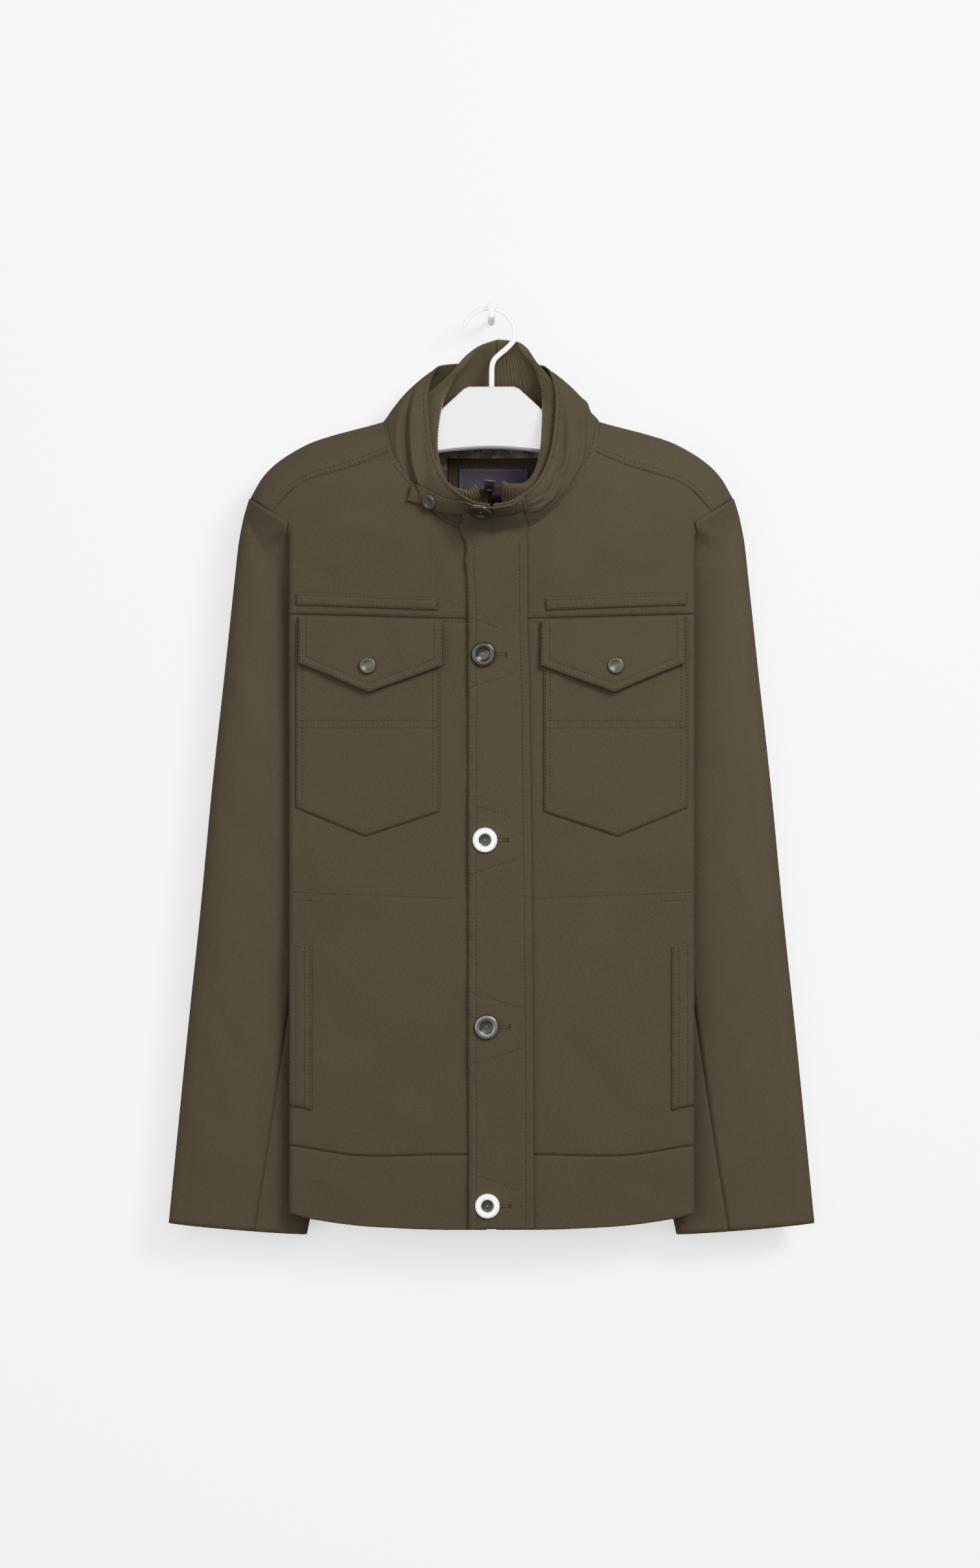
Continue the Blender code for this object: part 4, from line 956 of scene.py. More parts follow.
half = np.linspace(collar["centreFront"], collar["centreBack"], collar["columns"] // 2)
stations = np.concatenate([-half, half[::-1]])
a, b = np.meshgrid(stations * collar["stationStep"],
                   np.linspace(collar["below"], 1, collar["rows"]) * collar["tall"])
clothPiece("collarStand", collarLayer(a, b), collar["cut"], body["double"], "collar_shell", True,
           ("chestLeft", "chestRight", "backPanel"))
for line in collarRows:
    sewRow("collar", collarLayer, line)

# Throat tab from the fly to its free end: station on the collar, part of the way up it, height above it
tab = {"lower": Curve((0, 1.9, 0.34, 3.2), (1, 0.98, 0.38, 3.2), (2, 0.24, 0.44, 3.2),
                      (3, -0.5, 0.5, 3.2), (4, -1.42, 0.53, 3.2), (5, -2.12, 0.35, 3.2),
                      (6, -2.72, 0.09, 3.4), (7, -3.1, -0.07, 6.5), (8, -3.37, -0.28, 10.2)),
       "upper": Curve((0, 2.0, 1.0, 3.2), (1, 1.2, 1.0, 3.2), (2, 0.4, 1.0, 3.2),
                      (3, -0.5, 1.0, 3.2), (4, -1.5, 0.96, 3.2), (5, -2.3, 0.75, 3.2),
                      (6, -2.96, 0.53, 3.2), (7, -3.33, 0.29, 3.5), (8, -3.55, 0.085, 5.1)),
       "columns": 96, "rows": 24, "cut": (0.119, 0.0253, 0.0022), "long": 14.0, "wide": 24.0, "steps": 8,
       "merge": 3.4, "edgeWidth": 1.2, "snap": (6.15, 0.45), "button": (3.15, 0.7)}
tabEnd = tab["steps"] * tab["long"]
tabRows = [[(5.2 * tab["long"], 1.6), (tabEnd - 2, 1.6)], [(1, 22.2), (tabEnd - 2, 22.2)],
           [(tabEnd - 2, 1.6), (tabEnd - 2, 22.2)], [(7.1 * tab["long"], 6), (7.1 * tab["long"], 21)],
           [(2.0, 1), (2.0, 23)], [(9.0, 1), (9.0, 23)]]


def tabLayer(a, b):
    # coordinates in mm: along the tab from the fly, and up it
    a, b = np.broadcast_arrays(np.asarray(a, float), np.asarray(b, float))
    reach, share = a / tab["long"], b / tab["wide"]
    station, part, lift = (mix(tab["lower"](reach, k), tab["upper"](reach, k), share) for k in range(3))
    border = np.minimum(np.minimum(share, 1 - share) * tab["wide"], tabEnd - a)
    # over the fly its lower edge sinks into the placket, which is the same cloth
    sink = tab["merge"] * (1 - smooth((reach - 3.6) / 0.8)) * (1 - smooth(share / 0.5))
    roll = body["edgeRoll"] * np.exp(-(np.maximum(border, 0) / tab["edgeWidth"]) ** 2)
    lift = lift - roll + rowDent(a, b, tabRows) - sink
    return collarPoint(station, part, lift + np.maximum(collarRelief(station, np.maximum(part, 0)), -0.4))


def tabSeat(where):
    # a point on the tab and the way that it faces there
    a, b = where[0] * tab["long"], where[1] * tab["wide"]
    here = tabLayer(a, b)
    out = np.cross(tabLayer(a, b + 1.0) - here, tabLayer(a + 1.0, b) - here)
    return here, out / np.linalg.norm(out)


a, b = np.meshgrid(np.linspace(0, tab["steps"], tab["columns"]) * tab["long"],
                   np.linspace(0, 1, tab["rows"]) * tab["wide"])
clothPiece("throatTab", tabLayer(a, b), tab["cut"], body["double"], "collar_tab", True, ("collarStand",))
for line in tabRows:
    sewRow("collar", tabLayer, line)
print("collar laid")


# The placket runs up the fronts and on over the collar stand, under the tab
u, z = np.meshgrid(np.linspace(0, 1, placket["cells"][0] + 1),
                   np.linspace(placket["low"], placket["high"], placket["cells"][1] + 1))
lower = placketLayer(mix(placket["edges"](z), placket["edges"](z, 1), u), z)
u, part = np.meshgrid(u[0], placket["overCollar"])
station = mix(placket["stations"][0], placket["stations"][1], u)
lift = mix(mix(placket["lift"], placket["onCollar"], smooth(part / 0.2)), placket["underTab"],
           smooth((part - 0.45) / 0.2))
upper = collarPoint(station, part, lift)
clothPiece("placketStrip", np.concatenate([lower, upper]), placket["cut"], body["double"], "placket", False,
           ("chestLeft",))
for line in placketRows:
    sewRow("placket", placketLayer, line)
print("placket laid")


# Knit inner collar, folded double with a rolled top

rib = {"end": 0.35, "stationsRound": 16.0, "evenAt": 0.8, "rollFrom": 0.6, "inset": 3.8,
       "frontInset": 5.0, "start": 0.1, "thick": 4.0, "roll": 7.2, "wale": 2.7, "rise": 0.55,
       "columns": 760, "nose": 2.4,
       "noseTurns": (20, 40, 58, 74, 86), "sideRows": 10, "rollRows": 8, "cut": (0.40, 0.150, 0.052)}
ribTopLeft = Curve((0, 7, -104, -157), (1, 16, -104, -162), (2, 28, -99, -161), (3, 40, -90, -150),
                   (4, 47, -72, -117), (5, 48, -52, -78), (6, 38.5, -40, -43), (7, 26, -33, -26),
                   (8, 5, -29, -23))
ribTopRight = Curve((0, 10, -103, -160), (1, 20, -103, -168), (2, 33, -98, -165), (3, 45, -87, -153),
                    (4, 50.5, -69, -121), (5, 46.5, -53, -82), (6, 35, -38, -54), (7, 15, -31, -30),
                    (8, -5, -29, -23))


def ribPoint(station, part):
    station, part = np.broadcast_arrays(np.asarray(station, float), np.asarray(part, float))
    inset = rib["inset"] + rib["frontInset"] * np.maximum(1 - np.abs(station) / 2, 0)
    base = collarPoint(station, rib["start"], -inset)
    left, right = edgePoint(ribTopLeft, station, 1), edgePoint(ribTopRight, station, -1)
    top = np.where((station >= 0)[..., None], left, right)
    return base + (top - base) * part[..., None]


half = np.linspace(rib["end"], collar["centreBack"], rib["columns"] // 2)
lap = rib["stationsRound"]
# space the columns evenly round the edge, so that every wale is as wide
turned = np.concatenate([half, lap - half[::-1]])
edge = ribPoint(np.where(turned < lap / 2, -turned, lap - turned), np.full(turned.shape, rib["evenAt"]))
reach = np.concatenate([[0], np.cumsum(np.linalg.norm(np.diff(edge, axis=0), axis=1))])
even = np.linspace(0, reach[-1], rib["columns"])
turned = np.interp(even, reach, turned)
stations = np.where(turned < lap / 2, -turned, lap - turned)
upward = np.linspace(0, 1, rib["sideRows"])
middle = ribPoint(stations[None, :], upward[:, None])
acrossWay = np.gradient(middle, axis=1)
upWay = np.gradient(middle, axis=0)
outward = np.cross(acrossWay, upWay)
outward = -outward / np.linalg.norm(outward, axis=-1, keepdims=True)
upWay = upWay / np.linalg.norm(upWay, axis=-1, keepdims=True)
wales = rib["rise"] * np.cos(even / rib["wale"] * math.tau)[None, :, None]
centre = middle - outward * rib["thick"] / 2
swell = smooth((upward - rib["rollFrom"]) / (1 - rib["rollFrom"]))
fat = mix(rib["thick"] / 2, rib["roll"] / 2, swell)[:, None, None]
outer = centre + outward * (fat + wales)
inner = centre - outward * (fat + wales)
turns = np.linspace(0, math.pi, rib["rollRows"] + 2)[1:-1][:, None, None]
roll = centre[-1:] + (rib["roll"] / 2 + wales) * (np.cos(turns) * outward[-1:] + np.sin(turns) * upWay[-1:])
points = np.concatenate([outer, roll, inner[::-1]])
core = np.concatenate([centre, np.repeat(centre[-1:], rib["rollRows"], axis=0), centre[::-1]])
# each end closes in a rounded nose beside the zip
noses = []
for end, beside in ((0, 6), (-1, -7)):
    onward = core[:, end] - core[:, beside]
    onward = onward / np.linalg.norm(onward, axis=-1, keepdims=True)
    spread = points[:, end] - core[:, end]
    nose = [core[:, end] + spread * math.cos(angle) + onward * rib["nose"] * math.sin(angle)
            for angle in np.radians(rib["noseTurns"])]
    noses.append(np.stack(nose, 1))
points = np.concatenate([noses[0][:, ::-1], points, noses[1]], axis=1)
knit = addPiece("ribCollar", gridMesh("ribCollar", points, True), "rib", "rib", ("rib_collar",))
print("knit laid")


# Inside of the neck

neckInside = {
    "liningBack": {"x": (-74, 74), "z": (-200, -117), "level": 3.8, "puff": 0.25, "thick": 1.0,
                   "cells": (60, 34), "look": "lining", "cut": (0.149, 0.084, 0.0125)},
    "facingBack": {"x": (-40, 44), "z": (-182, -127), "level": 5.1, "puff": 0.0, "thick": 0.8,
                   "cells": (42, 26), "look": "facing", "cut": (0.085, 0.056, 0.0047)},
    "labelBack": {"x": (-30, 33.4), "z": (-174, -136), "level": 6.4, "puff": 0.0, "thick": 0.8,
                  "cells": (40, 24), "look": "label", "cut": (0.064, 0.039, 0.00245)}}


zigzag = {"half": 1.1, "step": 1.6, "pitch": 1.94, "long": 1.9, "x": (-28.6, 32.4), "z": (-172, -138),
          "topZ": -138.0, "sideX": (-28.4, 31.6)}


def insideLayer(piece):
    def place(x, z):
        x, z = np.broadcast_arrays(np.asarray(x, float), np.asarray(z, float))
        waves = np.sin(x * 0.21 + 0.4) * np.sin(z * 0.17) + 0.6 * np.sin(x * 0.09 - z * 0.12)
        return np.stack([x, backY(x, z) - piece["level"] - piece["puff"] * waves, z], -1)
    return place


def zigzagRow(ends, middle):
    # places along the row, with the swing to either side of its middle
    places = np.arange(*ends, zigzag["step"])
    return [(at, middle + zigzag["half"] * (-1) ** k) for k, at in enumerate(places)]


for name, piece in neckInside.items():
    columns, rows = piece["cells"]
    x, z = np.meshgrid(np.linspace(*piece["x"], columns), np.linspace(*piece["z"], rows))
    clothPiece(name, insideLayer(piece)(x, z), piece["cut"], piece["thick"], piece["look"] + "_back", False,
               ("backPanel",), piece["look"], piece["look"])
facingLayer = insideLayer(neckInside["facingBack"])
for line in ([(-38, -129.2), (42, -129.2)], [(-38, -180), (-38, -129.2)]):
    sewRow("facing", facingLayer, line)
labelRows = [zigzagRow(zigzag["x"], zigzag["topZ"])]
labelRows += [[(x, z) for z, x in zigzagRow(zigzag["z"], middle)] for middle in zigzag["sideX"]]
for line in labelRows:
    sewRow("label", insideLayer(neckInside["labelBack"]), line, pitch=zigzag["pitch"], long=zigzag["long"])
print("neck inside laid")


# Turned pieces

def turnedMesh(name, profile, place, facing, steps=48):
    form = bmesh.new()
    points = [form.verts.new((radius, 0, height)) for radius, height in profile]
    edges = [form.edges.new(pair) for pair in zip(points, points[1:])]
    bmesh.ops.spin(form, geom=points + edges, cent=(0, 0, 0), axis=(0, 0, 1), angle=math.tau, steps=steps,
                   use_merge=True)
    bmesh.ops.remove_doubles(form, verts=form.verts, dist=0.001)
    bmesh.ops.recalc_face_normals(form, faces=form.faces)
    turn = Vector(facing).to_track_quat("Z", "Y").to_matrix().to_4x4()
    form.transform(Matrix.Scale(mm, 4) @ Matrix.Translation(Vector(place)) @ turn)
    mesh = bpy.data.meshes.new(name)
    form.to_mesh(mesh)
    form.free()
    mesh.shade_smooth()
    mesh.set_sharp_from_angle(angle=math.radians(50))
    return mesh


def seatOn(place, facing, points):
    turn = Vector(facing).to_track_quat("Z", "Y").to_matrix()
    return [Vector(place) + turn @ Vector(point) for point in points]


# Buttons: a dished centre with four holes, in a rim

buttons = {"places": {"button_1": (-7.4, -308.4, "button"), "button_2": (-6.0, -474, "whiteMetal"),
                      "button_3": (-4.6, -641, "gunMetal"), "button_4": (-3.8, -801, "whiteMetal")},
           "rim": [(5.6, 1.2), (5.75, 2.2), (6.2, 2.7), (7.2, 2.95), (8.8, 3.05), (10.0, 2.9), (10.7, 2.3),
                   (11.0, 1.4), (10.6, 0.5), (9.6, 0.1), (5.7, 0.1), (5.6, 1.2)],
           "dish": [(0, 0.95), (2.6, 1.0), (4.4, 1.25), (5.5, 1.7), (5.5, 0.2), (0, 0.2)],
           "holeAt": 1.5, "holeRadius": 0.8, "holeMiddle": 1.3, "holeDeep": 1.6, "threadThick": 0.6,
           "threadHeight": 0.95, "threadRise": 0.15, "slot": (9.5, 19.5, 20.2), "slotHalf": 1.3,
           "slotStitch": (1.0, 1.6), "bars": (20.4, 21.2), "barHalf": 2.6, "barStitch": (0.9, 1.5)}
whitePieces = []  # pale things that the room's own lights reach


def dishWithHoles(name, place, facing):
    dish = turnedMesh(name, buttons["dish"], place, facing)
    drill = bmesh.new()
    at = buttons["holeAt"]
    turn = Vector(facing).to_track_quat("Z", "Y").to_matrix().to_4x4()
    for x, y in ((at, at), (-at, at), (at, -at), (-at, -at)):
        hole = Matrix.Translation((x, y, buttons["holeMiddle"]))
        spot = Matrix.Scale(mm, 4) @ Matrix.Translation(Vector(place)) @ turn @ hole
        bmesh.ops.create_cone(drill, cap_ends=True, segments=16, radius1=buttons["holeRadius"],
                              radius2=buttons["holeRadius"], depth=buttons["holeDeep"], matrix=spot)
    cutter = bpy.data.objects.new(name + "Drill", bpy.data.meshes.new(name + "Drill"))
    drill.to_mesh(cutter.data)
    drill.free()
    blank = bpy.data.objects.new(name + "Blank", dish)
    for item in (cutter, blank):
        bpy.context.scene.collection.objects.link(item)
    cut = blank.modifiers.new("holes", "BOOLEAN")
    cut.operation = "DIFFERENCE"
    cut.object = cutter
    bpy.context.view_layer.update()
    made = bpy.data.meshes.new_from_object(blank.evaluated_get(bpy.context.evaluated_depsgraph_get()))
    for item in (cutter, blank):
        bpy.data.objects.remove(item)
    made.name = name
    made.materials.clear()
    return made


def makeButton(node, place, facing, look):
    rim = turnedMesh(node + "Rim", buttons["rim"], place, facing)
    edge = addPiece(node + "Rim", rim, look, "button", (node,))
    if look == "whiteMetal":
        whitePieces.append(edge)
    centre = "button" if look == "button" else "dish"
    addPiece(node + "Dish", dishWithHoles(node + "Dish", place, facing), centre, "button")
    at, high = buttons["holeAt"], buttons["threadHeight"]
    out = Vector(facing).normalized()
    for way in (1, -1):
        first, last = seatOn(place, facing, ((at, way * at, high), (-at, -way * at, high)))
        spot = (first + last) / 2 + out * buttons["threadRise"]
        addStitch("buttonThreadAndGlint", last - first, spot, out, buttons["threadThick"])


for node, (x, z, look) in buttons["places"].items():
    seat = (x, float(frontY(x, z)) - placket["lift"] - body["layerGap"], z)
    makeButton(node, seat, (0, -1, 0), look)
    # buttonhole: close stitches round a slot, and two bars at its end
    start, end, tip = (x + away for away in buttons["slot"])
    over, under = z + buttons["slotHalf"], z - buttons["slotHalf"]
    hole = [(start, over), (end, over), (tip, z), (end, under), (start, under)]
    sewRow("buttonhole", placketLayer, hole, (0, -1, 0), *buttons["slotStitch"])
    for away in buttons["bars"]:
        bar = [(x + away, z - buttons["barHalf"]), (x + away, z + buttons["barHalf"])]
        sewRow("buttonhole", placketLayer, bar, (0, -1, 0), *buttons["barStitch"])

seat, out = tabSeat(tab["button"])
makeButton("button_collar", seat + out * body["layerGap"], out, "button")

snap = {"profile": [(0, 2.25), (4.6, 2.3), (5.0, 2.6), (5.8, 2.75), (6.7, 2.6), (7.3, 2.0), (7.5, 1.1),
                    (7.2, 0.2), (6.6, 0), (0, 0)],
        "x": 110.6, "z": -318.5, "gap": 0.8, "facing": (0, -1, 0.06), "tabSize": (0.93, 0.85), "tabGap": 0.2}
flap = patches["flap"]
middle = len(flap["x"]) // 2
snapPart = (flap["top"][middle] - snap["z"]) / (flap["top"][middle] - flap["low"][middle])
for side, word in ((1, "left"), (-1, "right")):
    name = "snapCap_" + word
    seat = folded(frontSide, snap["x"], snap["z"], flap["lift"] + flap["kick"] * snapPart ** 2 + snap["gap"])
    cap = turnedMesh(name, snap["profile"], mirrored(seat, side), snap["facing"])
    addPiece(name, cap, "snap", "snap", ("snap_" + word,))
seat, out = tabSeat(tab["snap"])
smaller = [(radius * snap["tabSize"][0], height * snap["tabSize"][1]) for radius, height in snap["profile"]]
cap = turnedMesh("snapCap_tab", smaller, seat + out * snap["tabGap"], out)
addPiece("snapCap_tab", cap, "snap", "snap", ("tab_snap",))
print("buttons and snaps set")


# Zips

zips = {"toothPitch": 2.4, "tooth": (2.1, 1.5, 1.3), "toothSide": 0.7,
        "toothOut": {"main": 0.45, "rib": 0.55}, "tapeThick": 1.2, "tapeFlat": 3.2, "tapeSink": 1.5,
        "tapeX": (-5.4, -4.2, -3.2, -1.6, 0, 1.6, 3.2, 4.2, 5.4),
        "behind": 0.4, "onFront": (-818, -640, -480, -330, -270, -225),
        "atThroat": [(0, -88.0, -207.0), (0.3, -87.6, -200.0), (1.0, -96.0, -191.0), (2.4, -101.0, -183.0),
                     (4.0, -107.0, -175.0)],
        "cuts": {"main": (0.0125, 0.651, 0.0081), "rib": (0.0234, 0.035, 0.00051)},
        "slider": (10.4, 3.6, 10.0), "plate": 1.1, "waist": 0.66, "bridge": (2.4, 4.6), "bridgeDrop": 2.5,
        "ear": (0.9, 1.6, 2.6), "earX": 2.6, "bevel": 0.3, "pinOut": 2.6, "pinRadius": 0.6, "pinLong": 5.4,
        "ring": (2.4, 3.4), "ringSteps": 24, "ringWire": 0.75, "ringDrop": 6.2, "ringOverlap": 1.12,
        "shank": (2.0, 1.2, 2.2), "shankDrop": 1.9, "eyeRadius": 1.5, "eyeLong": 3.4,
        "main": {"place": (4.5, -111.0, -173.0), "turn": (37, -25), "rest": 132},
        "rib": {"place": (-2.0, -106.6, -160.0), "turn": (19, 4), "rest": 98}}


def boxAt(form, size, matrix):
    made = bmesh.ops.create_cube(form, size=1.0, matrix=matrix @ Matrix.Diagonal((*size, 1)))
    return made["verts"]


def rodAt(form, radius, length, matrix, segments):
    bmesh.ops.create_cone(form, cap_ends=True, segments=segments, radius1=radius, radius2=radius,
                          depth=length, matrix=matrix)


def roundEdges(form, edges, offset, segments):
    bmesh.ops.bevel(form, geom=edges, offset=offset, offset_type="OFFSET", affect="EDGES", segments=segments,
                    profile=0.5, material=-1)


def finishForm(form, name):
    form.transform(Matrix.Scale(mm, 4))
    mesh = bpy.data.meshes.new(name)
    form.to_mesh(mesh)
    form.free()
    mesh.shade_smooth()
    mesh.set_sharp_from_angle(angle=math.radians(40))
    return mesh


def chainTeeth(name, path):
    # two rows of teeth that mesh along the middle of the tape
    reach = np.concatenate([[0], np.cumsum(np.linalg.norm(np.diff(path, axis=0), axis=1))])
    whole = bmesh.new()
    for k, distance in enumerate(np.arange(1.0, reach[-1] - 0.5, zips["toothPitch"] / 2)):
        spot = Vector([np.interp(distance, reach, path[:, c]) for c in range(3)])
        ahead = Vector([np.interp(distance + 0.8, reach, path[:, c]) for c in range(3)]) - spot
        ahead = ahead if ahead.length > 0.01 else Vector((0, 0, 1))
        up = ahead.normalized()
        out = Vector((1, 0, 0)).cross(up)
        turn = Matrix((out.cross(up) * -1, out * -1, up)).transposed().to_4x4()
        shift = Matrix.Translation((zips["toothSide"] * (1 if k % 2 else -1), 0, 0))
        tooth = bmesh.new()
        boxAt(tooth, zips["tooth"], Matrix.Translation(spot) @ turn @ shift)
        part = bpy.data.meshes.new("tooth")
        tooth.to_mesh(part)
        tooth.free()
        whole.from_mesh(part)
        bpy.data.meshes.remove(part)
    return finishForm(whole, name)


def makeZip(word, tape, middle):
    clothPiece("zipTape" + word.title(), tape, zips["cuts"][word], zips["tapeThick"], "zip_" + word, False,
               ("chestLeft",), "tape", "tape")
    name = "zipTeeth" + word.title()
    addPiece(name, chainTeeth(name, middle - np.array([0, zips["toothOut"][word], 0])), "zipMetal", "metal")


mainPath = [(0, float(frontY(0, z)) + zips["behind"], z) for z in zips["onFront"]]
mainPath = np.array(mainPath + zips["atThroat"])
fine = np.linspace(0, len(mainPath) - 1, 160)
spine = np.stack([np.interp(fine, range(len(mainPath)), mainPath[:, c]) for c in range(3)], -1)
# the tape's edges tuck in behind the edges of the fronts
tape = [spine + np.array([x, zips["tapeSink"] * float(smooth(abs(x) - zips["tapeFlat"])), 0])
        for x in zips["tapeX"]]
makeZip("main", np.stack(tape, 1), spine)
upward = np.linspace(0, 1, 24)
step = np.array([0.3, 0, 0])
leftEnd = ribPoint(np.full(24, -rib["end"]), upward) + step
rightEnd = ribPoint(np.full(24, rib["end"]), upward) - step
tape = [mix(leftEnd, rightEnd, share) for share in np.linspace(0, 1, 9)]
makeZip("rib", np.stack(tape, 1), (leftEnd + rightEnd) / 2)


def sliderFrame(word):
    tilt, roll = (math.radians(angle) for angle in zips[word]["turn"])
    turn = Matrix.Rotation(tilt, 4, "X") @ Matrix.Rotation(roll, 4, "Y")
    return Matrix.Translation(zips[word]["place"]) @ turn


sideways = Matrix.Rotation(math.pi / 2, 4, "Y")


def makeSlider(word):
    # a waisted body of two plates with a bridge, and two ears on its front that hold the pull's pin
    frameAt = sliderFrame(word)
    wide, deep, tall = zips["slider"]
    form = bmesh.new()
    for y in (-deep / 2 + zips["plate"] / 2, deep / 2 - zips["plate"] / 2):
        plate = boxAt(form, (wide, zips["plate"], tall), frameAt @ Matrix.Translation((0, y, 0)))
        for vert in plate:
            local = frameAt.inverted() @ vert.co
            if local.z < 0:
                vert.co = frameAt @ Vector((local.x * zips["waist"], local.y, local.z))
    bridgeWide, bridgeTall = zips["bridge"]
    boxAt(form, (bridgeWide, deep - 1.0, bridgeTall),
          frameAt @ Matrix.Translation((0, 0, tall / 2 - zips["bridgeDrop"])))
    pinY, pinZ = -deep / 2 - zips["pinOut"], -tall / 4
    earWide, earMore, earTall = zips["ear"]
    for x in (zips["earX"], -zips["earX"]):
        boxAt(form, (earWide, zips["pinOut"] + earMore, earTall),
              frameAt @ Matrix.Translation((x, pinY + zips["pinOut"] / 2 - 0.1, pinZ)))
    roundEdges(form, form.edges[:], zips["bevel"], 2)
    pinAt = frameAt @ Matrix.Translation((0, pinY, pinZ)) @ sideways
    rodAt(form, zips["pinRadius"], zips["pinLong"], pinAt, 14)
    return finishForm(form, "zipSlider_" + word)


def makePull(word):
    # a small ring tab with a rolled eye, hung on the pin
    deep, tall = zips["slider"][1:]
    pin = Matrix.Translation((0, -deep / 2 - zips["pinOut"], -tall / 4))
    hang = sliderFrame(word) @ pin @ Matrix.Rotation(math.radians(-zips[word]["rest"]), 4, "X")
    form = bmesh.new()
    halfWide, halfTall = zips["ring"]
    turns = [math.tau * k / zips["ringSteps"] for k in range(zips["ringSteps"] + 1)]
    ring = [Vector((halfWide * math.sin(t), 0, -zips["ringDrop"] + halfTall * math.cos(t))) for t in turns]
    for start, end in zip(ring, ring[1:]):
        run = end - start
        turn = run.to_track_quat("Z", "Y").to_matrix().to_4x4()
        rodAt(form, zips["ringWire"], run.length * zips["ringOverlap"],
              hang @ Matrix.Translation((start + end) / 2) @ turn, 10)
    boxAt(form, zips["shank"], hang @ Matrix.Translation((0, 0, -zips["shankDrop"])))
    rodAt(form, zips["eyeRadius"], zips["eyeLong"], hang @ sideways, 18)
    return finishForm(form, "zipPull_" + word)


for word in ("main", "rib"):
    addPiece("zipSlider_" + word, makeSlider(word), "zipMetal", "metal", ("slider_" + word,))
    addPiece("zipPull_" + word, makePull(word), "zipMetal", "metal", ("pull_" + word,), "tab_" + word)
print("zips set")


# Hanger, hook and peg

hanger = {"thick": 9.0, "seat": 2.4, "bevel": 3.0, "bead": 1.7, "beadReach": 104,
          "neck": [(0, -65), (20.5, -65), (25, -67), (48, -88), (62, -99), (80, -105), (118, -106.5)],
          "armX": (140, 160, 170, 181.6, 190),
          "end": [(194, -139), (192, -148), (160, -147)], "lowerMiddle": -121, "lowerDrop": 17,
          "lowerReach": 110, "arch": 1.8, "beadOut": 0.4}


def lowerEdge(share):
    return hanger["lowerMiddle"] - hanger["lowerDrop"] * share ** hanger["arch"]


half = hanger["neck"] + [(x, float(shoulder(x)) - hanger["seat"]) for x in hanger["armX"]] + hanger["end"]
half += [(share * hanger["lowerReach"], lowerEdge(share)) for share in np.linspace(1, 0, 20)]
outline = half + [(-x, z) for x, z in half[-2:0:-1]]
form = bmesh.new()
face = form.faces.new([form.verts.new((x, body["ridgeY"] + hanger["thick"] / 2, z)) for x, z in outline])
grown = bmesh.ops.extrude_face_region(form, geom=[face])["geom"]
frontVerts = [v for v in grown if isinstance(v, bmesh.types.BMVert)]
bmesh.ops.translate(form, vec=(0, -hanger["thick"], 0), verts=frontVerts)
bmesh.ops.recalc_face_normals(form, faces=form.faces)
rimEdges = [e for e in form.edges if abs(e.verts[0].co.y - e.verts[1].co.y) < 0.01]
roundEdges(form, rimEdges, hanger["bevel"], 5)
whitePieces.append(addPiece("flatHanger", finishForm(form, "flatHanger"), "hanger", "hanger", ("hanger",)))
# a grey bead along the arched lower edge: painted shade where the white hanger's lower bevel faces down, away
# from the lamps
bead = hanger["bead"]
beadX = np.linspace(-hanger["beadReach"], hanger["beadReach"], 60)
beadZ = lowerEdge(np.abs(beadX / hanger["lowerReach"])) + bead
beadTurn = np.linspace(0, math.tau, 17)[:, None]
beadY = body["ridgeY"] - hanger["thick"] / 2 + bead - bead * np.cos(beadTurn) - hanger["beadOut"]
beadPoints = np.stack(np.broadcast_arrays(beadX, beadY, beadZ + bead * np.sin(beadTurn)), -1)
addPiece("hangerShadeBead", gridMesh("hangerShadeBead", beadPoints), "hangerShadeBead", "hanger")

hook = {"wire": 2.2, "centre": (-2.5, -17.4), "radius": 23.5, "sweep": (-8, 160),
        "stem": [(0, -64.7), (0, -56), (0.2, -47), (2, -41), (6.5, -36), (12.5, -31), (17.5, -26)]}
hookPath = list(hook["stem"])
for angle in np.radians(np.linspace(*hook["sweep"], 40)):
    hookPath.append((hook["centre"][0] + hook["radius"] * math.cos(angle),
                     hook["centre"][1] + hook["radius"] * math.sin(angle)))
hookPath = np.array(hookPath)
reach = np.concatenate([[0], np.cumsum(np.linalg.norm(np.diff(hookPath, axis=0), axis=1))])
knots = np.linspace(0, reach[-1], 90)
smoothX, smoothZ = (Curve(*zip(reach, hookPath[:, c]))(knots) for c in (0, 1))
wire = bpy.data.curves.new("hookWire", "CURVE")
wire.dimensions = "3D"
wire.bevel_depth = hook["wire"] * mm
wire.bevel_resolution = 5
wire.use_fill_caps = True
spline = wire.splines.new("POLY")
spline.points.add(len(knots) - 1)
for point, x, z in zip(spline.points, smoothX, smoothZ):
    point.co = (x * mm, body["ridgeY"] * mm, z * mm, 1)
wireItem = bpy.data.objects.new("hookWireCurve", wire)
bpy.context.scene.collection.objects.link(wireItem)
bpy.context.view_layer.update()
wireMesh = bpy.data.meshes.new_from_object(wireItem.evaluated_get(bpy.context.evaluated_depsgraph_get()))
bpy.data.objects.remove(wireItem)
form = bmesh.new()
form.from_mesh(wireMesh)
bmesh.ops.remove_doubles(form, verts=form.verts, dist=0.00001)
tip = Matrix.Translation((smoothX[-1] * mm, body["ridgeY"] * mm, smoothZ[-1] * mm))
bmesh.ops.create_uvsphere(form, u_segments=16, v_segments=10, radius=hook["wire"] * mm * 1.02, matrix=tip)
form.to_mesh(wireMesh)
form.free()
wireMesh.materials.clear()
wireMesh.shade_smooth()
whitePieces.append(addPiece("hangerHook", wireMesh, "wire", "wire", ("hanger_hook",)))

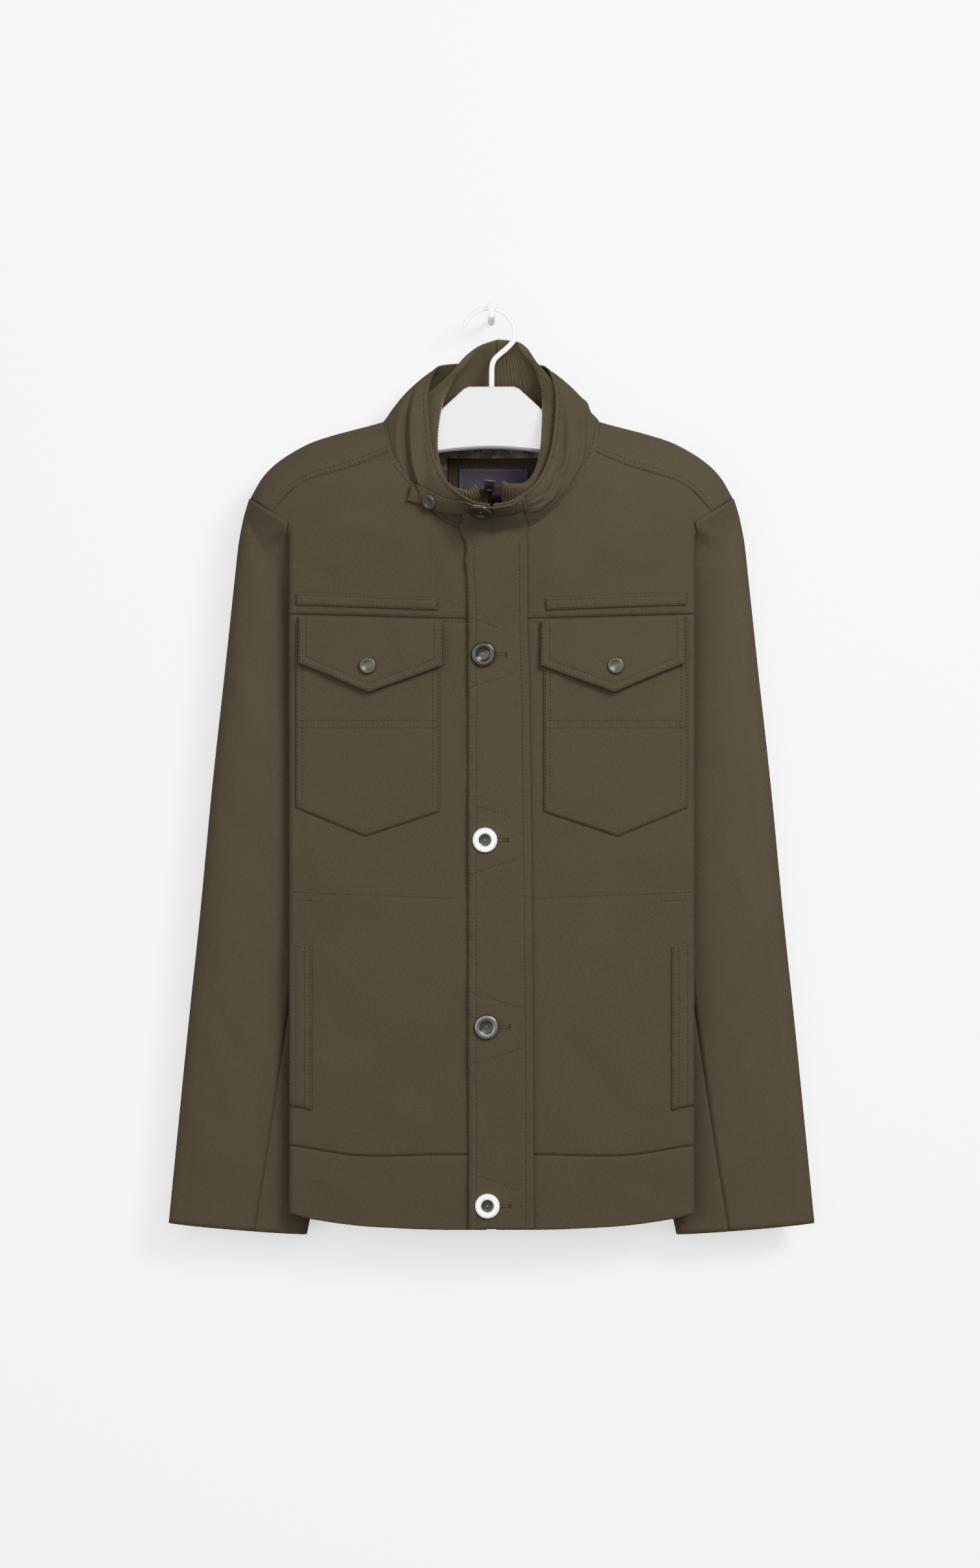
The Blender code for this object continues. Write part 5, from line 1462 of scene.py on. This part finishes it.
peg = {"shaft": [(0, 54), (2.6, 54), (3.2, 53.4), (3.4, 52.6), (3.4, 0.6), (3.4, 0), (0, 0)],
       "knob": [(0, 6.5), (2.6, 6.4), (3.8, 5.8), (4.4, 4.6), (4.4, 1.4), (3.9, 0.4), (3.0, 0), (0, 0)],
       "knobAt": (0, -46.6, 6.8), "steps": 32}
for name, profile, place, nodes in (("pegShaft", peg["shaft"], (0, 0, 0), ("wall_peg",)),
                                    ("pegKnob", peg["knob"], peg["knobAt"], ())):
    mesh = turnedMesh(name, profile, place, (0, -1, 0), peg["steps"])
    whitePieces.append(addPiece(name, mesh, "wire", "wire", nodes))
print("hanger, hook and peg made")

# the button threads take the pale ochre thread: real thread, made pale to stand for the glints in the button
# centres, a painted highlight
threads = {"label": ("paleThread", "label"), "facing": ("facingThread", "facing"),
           "buttonThreadAndGlint": ("facingThread", "button")}
for name, places in stitchPlaces.items():
    thread, slotName = threads.get(name, ("thread", "shell"))
    makeStitches("stitches_" + name, places, thread, slotName)
print("sewn", {name: len(places) for name, places in stitchPlaces.items()})


# Room: a pale wall and floor that are seen only from their lit sides

def paleLook(name, colour):
    look = Look(name, Specular_IOR_Level=0.1)
    where = look.add("ShaderNodeTexCoord", output="Object")
    grain = look.noise(where, 3, 2.0)
    look.feed(Base_Color=look.blend(grain, shade(colour, 0.995), shade(colour, 1.005)))
    look.feed(Roughness=look.span(grain, 0.3, 0.7, 0.85, 0.95))
    clear = look.tree.nodes.new("ShaderNodeBsdfTransparent")
    behind = look.add("ShaderNodeNewGeometry", output="Backfacing")
    shown = look.tree.nodes.new("ShaderNodeMixShader")
    look.put(shown.inputs[0], behind)
    look.tree.links.new(look.shader.outputs[0], shown.inputs[1])
    look.tree.links.new(clear.outputs[0], shown.inputs[2])
    look.tree.links.new(shown.outputs[0], look.tree.nodes["Material Output"].inputs[0])
    return look.material


room = {"wallY": 0.0006, "middleZ": -0.424, "floorZ": -1.3, "size": 8.0, "colour": (0.90, 0.90, 0.90),
        "sky": 0.40}
looks["room"] = paleLook("paleRoom", room["colour"])


def roomSheet(name, turn, place):
    sheet = bmesh.new()
    bmesh.ops.create_grid(sheet, x_segments=1, y_segments=1, size=room["size"] / 2)
    sheet.transform(Matrix.Translation(place) @ turn)
    mesh = bpy.data.meshes.new(name)
    sheet.to_mesh(mesh)
    sheet.free()
    mesh.materials.append(looks["room"])
    item = bpy.data.objects.new(name, mesh)
    bpy.context.scene.collection.objects.link(item)
    return item


wall = roomSheet("wall", Matrix.Rotation(math.pi / 2, 4, "X"), (0, room["wallY"], room["middleZ"]))
wall.visible_shadow = False
ground = roomSheet("floor", Matrix.Identity(4), (0, 0, room["floorZ"]))
roomOnly = bpy.data.collections.new("roomOnly")
for item in (wall, ground):
    item.visible_diffuse = False
    item.visible_glossy = False
    roomOnly.objects.link(item)
for item in whitePieces:
    roomOnly.objects.link(item)

# Lamps: place, where each one looks, size and power
lights = {"key": ((1.5, -2.4, 1.3), (0.0, 0.0, -0.4), 1.3, 78),
          "fill": ((-1.9, -2.6, -0.2), (0, 0, -0.45), 2.4, 26),
          "front": ((0.2, -3.6, 0.6), (0, 0, -0.45), 2.6, 28),
          "rear": ((0.8, 3.0, 0.8), (0, 0, -0.4), 2.4, 42),
          "rearFill": ((-1.6, 2.6, -0.4), (0, 0, -0.4), 2.0, 22),
          "roomKey": ((1.3, -2.2, 0.7), (0, 0, -0.4), 0.7, 400),
          "roomFill": ((-0.3, -3.2, -0.3), (0, 0, -0.45), 3.0, 620)}
for name, (place, target, size, power) in lights.items():
    lamp = bpy.data.lights.new(name, "AREA")
    lamp.size = size
    lamp.energy = power
    item = bpy.data.objects.new(name, lamp)
    item.location = place
    if name.startswith("room"):  # these keep the pale things near white and leave the cloth's tone alone
        item.light_linking.receiver_collection = roomOnly
    item.rotation_euler = (Vector(target) - Vector(place)).to_track_quat("-Z", "Y").to_euler()
    bpy.context.scene.collection.objects.link(item)
world = bpy.data.worlds.new("studio")
bpy.context.scene.world = world
world.use_nodes = True
sky = world.node_tree.nodes["Background"]
sky.inputs[0].default_value = (1, 1, 1, 1)
sky.inputs[1].default_value = room["sky"]

camera = {"distance": 3.0, "frontPlane": -0.075, "x": -0.00145, "z": -0.424, "frameHeight": 1.4036,
          "sensor": 36.0}
view = bpy.data.cameras.new("camera")
view.sensor_width = camera["sensor"]
view.lens = camera["sensor"] * camera["distance"] / camera["frameHeight"]
cameraItem = bpy.data.objects.new("camera", view)
cameraItem.location = (camera["x"], camera["frontPlane"] - camera["distance"], camera["z"])
cameraItem.rotation_euler = (math.pi / 2, 0, 0)
bpy.context.scene.collection.objects.link(cameraItem)
bpy.context.scene.camera = cameraItem
print("room lit")
